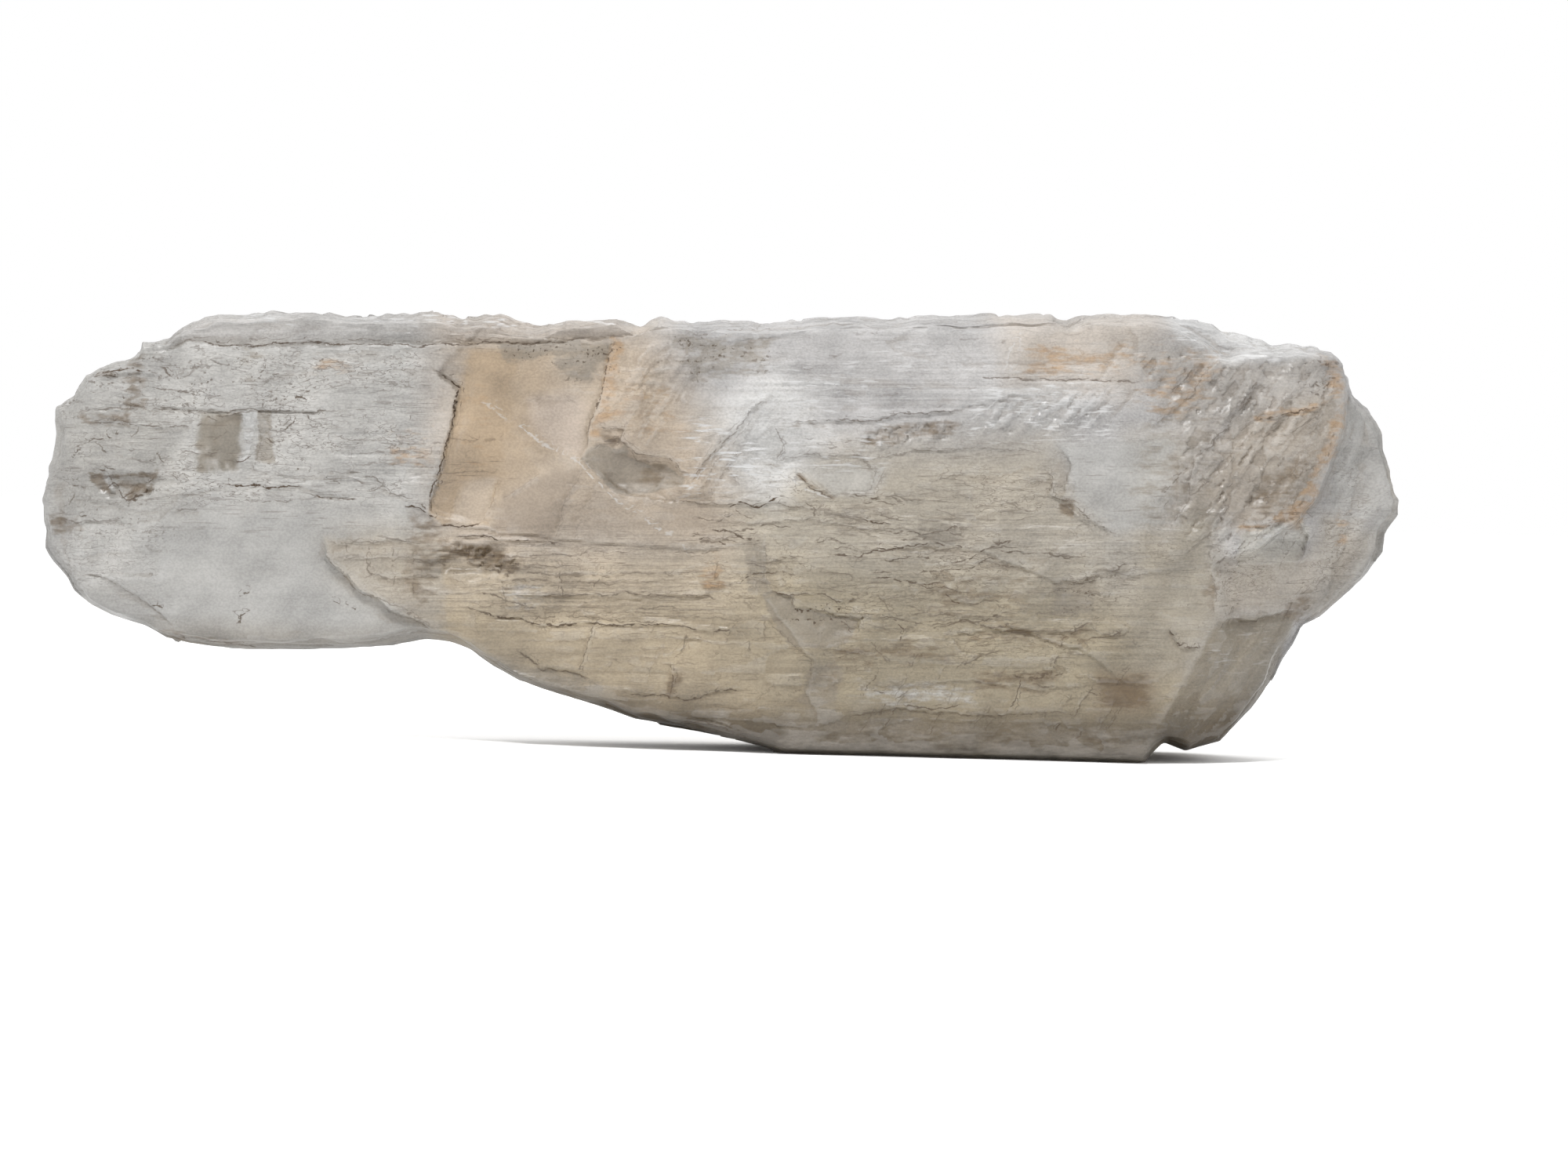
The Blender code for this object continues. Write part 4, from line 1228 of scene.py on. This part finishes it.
def textures(xz, broken, front):
    """How strong each texture, each kind of stain and the painted highlight is at the points.

    Each has a strength outside its areas of the front, those areas, and its strength on the back.
    """
    level = turned(broken, LEAN)
    end = smooth((xz[:, 0] - 0.22) / 0.06)
    clouds = smooth(0.5 + 0.9 * flat_noise(level, 0.10, 0.03, 111))
    slanting = [(1, 24, part["area"]) for part in SPLINTERS]
    found = {
        "flaky": (0.4, FLAKY, 0.3 + 0.5 * clouds),
        "striated": (0.2, STRIATED, 0.9 - 0.6 * clouds),
        "splintery": (0, slanting, end),
        "specked": (0.1, SPECKLED, 0.4 * smooth(-0.4 + 2 * flat_noise(level, 0.06, 0.02, 112))),
        "dashed": (0.1, DASHED, 0.3 + 0.5 * clouds),
        "frosted": (0, PAINTED_GLINT_AREAS, smooth(-0.7 + 2 * flat_noise(level, 0.08, 0.03, 113))),
    }
    for n, (kind, (low, length, height)) in enumerate(BACK_STAINS.items()):
        found[kind] = (0, STAINS[kind], smooth(low + 2 * lumpy(level, length, height, 121 + n)))
    smoothed = [(0.06, 8, area) for area in SMOOTH_AREAS]
    for kind in ("flaky", "striated"):
        base, patches, back = found[kind]
        found[kind] = (base, patches + smoothed, back)
    strengths = {}
    for name, (base, patches, back) in found.items():
        full = [(value, soft, 1, area) for value, soft, area in patches]
        strengths[name] = patched(broken, base, full, on_front)[:, 0] * front + back * (1 - front)
    return strengths


def colour_in(mesh):
    """Stores the crystal's colours, marks and textures at its points; returns the groups of marks."""
    p = points_of(mesh)
    xz = p[:, [0, 2]]
    broken = jagged(xz)
    front = smooth(0.5 - (p[:, 1] + SEAM_WANDER * lattice_noise(p / SEAM_LUMP, 151)) / SEAM_BLEND)
    tint = front_colour(xz) * front[:, None] + back_colour(xz) * (1 - front[:, None])
    # the tint is darkened by the painted shade of the lower edges
    store(mesh, "tint", tint * under_shade(xz)[:, None])
    store(mesh, "relief", standing_out(mesh, p, RELIEF_ROUNDS) * MM)
    for name, values in textures(xz, broken, front).items():
        store(mesh, name, values)
    veins = [(on_front(line), 1.0) for line in VEINS]
    cracks = draw_marks(mesh, "crack", broken, front, marks_of(FRONT_BREAKS, on_front),
                        marks_of(BACK_BREAKS, on_back))
    return cracks, draw_marks(mesh, "vein", broken, front, veins, [])


class Graph:
    """Short names for the shader nodes that the crystal's material is made of."""

    def __init__(self, tree):
        self.tree = tree

    def node(self, kind, **settings):
        made = self.tree.nodes.new(kind)
        for name, value in settings.items():
            setattr(made, name, value)
        return made

    def feed(self, socket, value):
        if isinstance(value, bpy.types.NodeSocket):
            self.tree.links.new(value, socket)
        else:
            socket.default_value = value

    def math(self, operation, a, b=0.0, clamp=False):
        made = self.node("ShaderNodeMath", operation=operation, use_clamp=clamp)
        self.feed(made.inputs[0], a)
        self.feed(made.inputs[1], b)
        return made.outputs[0]

    def between(self, value, low, high):
        """0 at low and 1 at high, eased."""
        made = self.node("ShaderNodeMapRange", interpolation_type="SMOOTHSTEP")
        for socket, number in zip(made.inputs, (value, low, high, 0.0, 1.0)):
            self.feed(socket, number)
        return made.outputs[0]

    def mix(self, share, a, b, blend="MIX"):
        made = self.node("ShaderNodeMix", data_type="RGBA", blend_type=blend)
        self.feed(made.inputs[0], share)
        self.feed(made.inputs[6], a)
        self.feed(made.inputs[7], b)
        return made.outputs[2]

    def stretched(self, vector, scale):
        made = self.node("ShaderNodeVectorMath", operation="MULTIPLY")
        self.feed(made.inputs[0], vector)
        made.inputs[1].default_value = scale
        return made.outputs[0]

    def noise(self, vector, scale, detail, roughness):
        """Fractal noise; scale is lumps per metre along X, Y and Z."""
        made = self.node("ShaderNodeTexNoise")
        self.feed(made.inputs["Vector"], self.stretched(vector, scale))
        made.inputs["Scale"].default_value = 1.0
        made.inputs["Detail"].default_value = detail
        made.inputs["Roughness"].default_value = roughness
        return made.outputs["Fac"]

    def turned(self, vector, angle):
        made = self.node("ShaderNodeMapping")
        made.inputs["Rotation"].default_value = (0, angle, 0)
        self.feed(made.inputs["Vector"], vector)
        return made.outputs["Vector"]

    def times(self, a, b):
        return self.math("MULTIPLY", a, b)

    def centre(self, noise):
        """Noise spread to run from -0.5 to 0.5."""
        return self.math("SUBTRACT", self.between(noise, 0.28, 0.72), 0.5)

    def sum(self, start, parts):
        """A number with others added, each times its weight."""
        total = start
        for value, weight in parts:
            made = self.node("ShaderNodeMath", operation="MULTIPLY_ADD")
            for socket, number in zip(made.inputs, (value, weight, total)):
                self.feed(socket, number)
            total = made.outputs[0]
        return total

    def highest(self, values):
        top = values[0]
        for value in values[1:]:
            top = self.math("MAXIMUM", top, value)
        return top

    def sheets(self, value, levels):
        """Noise cut into sheets: over each it rises from 0 to 1, and at its edge it drops."""
        return self.math("FRACT", self.times(value, levels))

    def edges(self, sheets, width):
        """Thin lines along the edges of sheets."""
        return self.math("SUBTRACT", 1.0, self.between(sheets, 0.0, width))

    def stain(self, kind, ragged):
        """Where a kind of stain shows, its edges broken up by noise."""
        return self.between(self.math("ADD", self.attribute(kind), ragged), 0.40, 1.05)

    def marks(self, name, groups, fray, inner, outer):
        """The lines drawn at the mesh's points, frayed; inner and outer are their half widths in mm."""
        drawn = []
        for n in range(groups):
            off = self.math("ABSOLUTE", self.math("ADD", self.attribute(f"{name}_off_{n}"), fray))
            band = self.math("SUBTRACT", 1.0, self.between(off, inner, outer))
            drawn.append(self.times(band, self.attribute(f"{name}_strength_{n}")))
        return self.math("MINIMUM", self.highest(drawn), 1.0)

    def across_layers(self):
        """1 where the surface is broken across the crystal's layers, and 0 on its broad faces."""
        parts = self.node("ShaderNodeSeparateXYZ")
        self.feed(parts.inputs[0], self.node("ShaderNodeTexCoord").outputs["Normal"])
        return self.math("SUBTRACT", 1.0, self.between(self.math("ABSOLUTE", parts.outputs[1]), 0.35, 0.75))

    def grey(self, value):
        """A colour with the same number in red, green and blue."""
        made = self.node("ShaderNodeCombineColor")
        for socket in made.inputs:
            self.feed(socket, value)
        return made.outputs[0]

    def attribute(self, name, output="Fac"):
        return self.node("ShaderNodeAttribute", attribute_name=name).outputs[output]


# Noises of the surface: lumps in a metre along X, Y and Z, detail and roughness
NOISES = dict(
    plates=((9, 9, 60), 3, 0.60),
    flakes=((38, 38, 170), 3, 0.62),
    scales=((170, 170, 420), 1, 0.6),
    striae=((9, 9, 820), 1, 0.5),
    bands=((6, 6, 90), 2, 0.6),
    cloud=((26, 26, 40), 3, 0.6),
    grain=((800, 800, 1000), 1, 0.5),
    layers=((14, 320, 14), 2, 0.6),
    fray=((260, 260, 420), 2, 0.6),
    dashes=((70, 70, 1300), 1, 0.4),
    specks=((520, 520, 620), 1, 0.6),
    glints=((110, 110, 800), 1, 0.5),
)
SLANTED_NOISES = dict(fibres=((26, 26, 260), 2, 0.6), veils=((5, 5, 60), 1, 0.5))
SHEETS = dict(plates=9.0, flakes=5.0, scales=4.0, layers=5.0)  # how many sheets a noise is cut into
STRENGTHS = ["flaky", "striated", "splintery", "specked", "dashed", "frosted", "relief"]
FRAY = 1.1  # mm by which the drawn lines wander
CRACK_WIDTHS = (0.14, 0.55)  # half widths in mm: the full dark of a line, and its outer edge
VEIN_WIDTHS = (0.10, 0.70)
BUMP_HEIGHT = 0.001
REFRACTION = 1.52
TRANSMISSION = 0.25
ABSORPTION_COLOUR = (0.90, 0.80, 0.64, 1)
ABSORPTION_DENSITY = 5.0


def rgba(colour):
    """A colour as a socket takes it."""
    return (*linear(colour), 1)


def surface(g):
    """The surface's noises and what is stored at the mesh's points, by name."""
    at = g.turned(g.node("ShaderNodeTexCoord").outputs["Object"], LEAN)
    slanted = g.turned(at, FIBRE_ANGLE)
    found = {name: g.noise(at, *sizes) for name, sizes in NOISES.items()}
    found.update({name: g.noise(slanted, *sizes) for name, sizes in SLANTED_NOISES.items()})
    found.update({f"{name}_sheets": g.sheets(found[name], levels) for name, levels in SHEETS.items()})
    found.update({name: g.attribute(name) for name in STRENGTHS})
    return SimpleNamespace(across=g.across_layers(), **found)


def tone_of(g, s):
    """How light each place is for its colour, with painted shade over the sheets' steps: 1 is as light as
    the colour itself.
    """
    striae = (g.times(g.centre(s.striae), s.striated), 0.26)
    fibres = (g.times(g.centre(s.fibres), s.splintery), 0.22)
    layers = (g.times(g.centre(s.layers), s.across), 0.30)
    # painted shade: each sheet is darkest just past its edge and lighter towards the next, like the shadow
    # of its step
    sheets = [(g.times(g.math("SUBTRACT", part, 0.5), s.flaky), 0.08)
              for part in (s.plates_sheets, s.flakes_sheets, s.scales_sheets)]
    clouds = [(g.centre(s.bands), 0.12), (g.centre(s.cloud), 0.32), (g.centre(s.veils), 0.20),
              (g.centre(s.grain), 0.20)]
    return g.sum(1.0, clouds + [striae, fibres] + sheets + [layers])


def stained_with_painted_light(g, s):
    """The stored tint under its stains, some white ones painted highlights, with the surface's tone, which
    holds painted shade.
    """
    colour = g.attribute("tint", "Color")
    ragged = g.sum(0.0, [(g.centre(s.flakes), 0.45), (g.centre(s.scales), 0.35)])
    for kind, paint in STAIN_COLOURS.items():
        colour = g.mix(g.times(g.stain(kind, ragged), STAIN_SHARES[kind]), colour, rgba(paint))
    return g.mix(1.0, colour, g.grey(tone_of(g, s)), "MULTIPLY")


def worn_and_highlit(g, s, colour):
    """The colour, paler where the surface stands out, as the white of broken edges and a painted highlight,
    and browner in its clefts.
    """
    # edges that stand out are paler: partly white broken gypsum and partly painted highlight
    rubbed_and_highlit = g.times(g.between(s.relief, 0.05, 0.30), g.between(s.cloud, 0.3, 0.6))
    colour = g.mix(g.times(rubbed_and_highlit, 0.12), colour, rgba(WHITE))
    sunk = g.times(g.between(g.times(s.relief, -1.0), 0.06, 0.35), g.between(s.bands, 0.35, 0.6))
    return g.mix(g.times(sunk, 0.22), colour, rgba(STAIN_COLOURS["brown"]))


def dirt_of(g, s, drawn):
    """How dirty each place is: edges of sheets, drawn cracks, dashes, specks and edges of layers."""
    edges = g.times(g.highest([
        g.times(g.edges(s.plates_sheets, 0.05), g.between(s.flakes, 0.44, 0.56)),
        g.times(g.edges(s.flakes_sheets, 0.10), g.between(s.cloud, 0.50, 0.60)),
        g.times(g.edges(s.scales_sheets, 0.18), g.between(s.cloud, 0.46, 0.60)),
    ]), s.flaky)
    layers = g.times(g.times(g.edges(s.layers_sheets, 0.12), s.across), g.between(s.flakes, 0.48, 0.58))
    broken = g.between(s.flakes, 0.46, 0.60)
    dashes = g.times(g.times(g.between(s.dashes, 0.60, 0.68), s.dashed), broken)
    specks = g.times(g.times(g.between(s.specks, 0.58, 0.66), s.specked), broken)
    return g.highest([g.times(edges, 0.55), drawn, g.times(dashes, 0.6), g.times(specks, 0.75),
                      g.times(layers, 0.5)])


def height_of(g, s):
    """How high the fine relief stands, in shares of BUMP_HEIGHT."""
    return g.sum(0.0, [
        (g.times(s.plates_sheets, s.flaky), 0.24), (g.times(s.flakes_sheets, s.flaky), 0.15),
        (g.times(s.scales_sheets, s.flaky), 0.10), (g.times(s.striae, s.striated), 0.12),
        (g.times(s.fibres, s.splintery), 0.50), (s.cloud, 0.5), (g.times(s.layers_sheets, s.across), 0.40),
    ])


def selenite(cracks, veins):
    """Milky see-through gypsum; cracks and veins say how many groups of marks the mesh holds."""
    material = bpy.data.materials.new("selenite")
    material.use_nodes = True
    g = Graph(material.node_tree)
    shader = material.node_tree.nodes["Principled BSDF"]
    s = surface(g)
    fray = g.times(g.centre(s.fray), FRAY)
    gaps = g.between(s.scales, 0.36, 0.48)
    dirt = dirt_of(g, s, g.times(g.marks("crack", cracks, fray, *CRACK_WIDTHS), gaps))
    veined = g.times(g.times(g.marks("vein", veins, fray, *VEIN_WIDTHS), gaps), 0.5)
    # painted highlights: white glint spots where the front is set to glint
    glints = g.times(g.times(g.between(s.glints, 0.54, 0.64), s.frosted), g.between(s.flakes, 0.42, 0.56))
    colour = g.mix(dirt, worn_and_highlit(g, s, stained_with_painted_light(g, s)), rgba(DIRT))
    colour = g.mix(g.highest([veined, g.times(glints, 0.85)]), colour, rgba(WHITE))
    g.feed(shader.inputs["Base Color"], colour)
    roughness = g.sum(0.50, [(g.centre(s.cloud), 0.30), (glints, -0.15), (dirt, 0.25)])
    g.feed(shader.inputs["Roughness"], roughness)
    bump = g.node("ShaderNodeBump")
    bump.inputs["Strength"].default_value = 1.0
    bump.inputs["Distance"].default_value = BUMP_HEIGHT
    g.feed(bump.inputs["Height"], height_of(g, s))
    g.feed(shader.inputs["Normal"], bump.outputs["Normal"])
    shader.inputs["IOR"].default_value = REFRACTION
    shader.inputs["Transmission Weight"].default_value = TRANSMISSION
    absorption = g.node("ShaderNodeVolumeAbsorption")
    absorption.inputs["Color"].default_value = ABSORPTION_COLOUR
    absorption.inputs["Density"].default_value = ABSORPTION_DENSITY
    output = material.node_tree.nodes["Material Output"]
    g.feed(output.inputs["Volume"], absorption.outputs["Volume"])
    return material


# The studio


FLOOR_WIDTH = 12


def studio():
    """A white floor under an even white sky."""
    floor_material = bpy.data.materials.new("studio_white")
    floor_material.use_nodes = True
    shader = floor_material.node_tree.nodes["Principled BSDF"]
    shader.inputs["Base Color"].default_value = (1, 1, 1, 1)
    shader.inputs["Roughness"].default_value = 1.0
    shader.inputs["Specular IOR Level"].default_value = 0.0
    bpy.ops.mesh.primitive_plane_add(size=1)
    floor = bpy.context.object
    floor.name = "floor"
    floor.scale = (FLOOR_WIDTH, FLOOR_WIDTH, 1)
    floor.data.materials.append(floor_material)
    world = bpy.data.worlds.new("studio")
    bpy.context.scene.world = world
    world.use_nodes = True
    world.node_tree.nodes["Background"].inputs["Color"].default_value = (1, 1, 1, 1)
    world.node_tree.nodes["Background"].inputs["Strength"].default_value = 1.0


def soft_light(name, at, towards, size, power):
    light = bpy.data.lights.new(name, "AREA")
    light.shape = "RECTANGLE"
    light.size, light.size_y = size
    light.energy = power
    lamp = bpy.data.objects.new(name, light)
    lamp.location = at
    lamp.rotation_euler = (Vector(towards) - Vector(at)).to_track_quat("-Z", "Y").to_euler()
    bpy.context.scene.collection.objects.link(lamp)


def camera():
    data = bpy.data.cameras.new("camera")
    data.lens = data.sensor_width * DISTANCE / FRAME_WIDTH
    shot = bpy.data.objects.new("camera", data)
    origin, right, up, forward = camera_axes()
    shot.matrix_world = Matrix([
        (right[0], up[0], -forward[0], origin[0]),
        (right[1], up[1], -forward[1], origin[1]),
        (right[2], up[2], -forward[2], origin[2]),
        (0, 0, 0, 1),
    ])
    bpy.context.scene.collection.objects.link(shot)
    bpy.context.scene.camera = shot


crystal()
studio()
soft_light("sky", (0.1, 0.6, 1.4), (0, 0, 0.15), (1.8, 0.8), 10)
soft_light("key", (-0.4, -1.6, 2.4), (0, 0, 0.1), (0.5, 0.5), 66)
camera()
bpy.context.scene.view_settings.view_transform = "Standard"
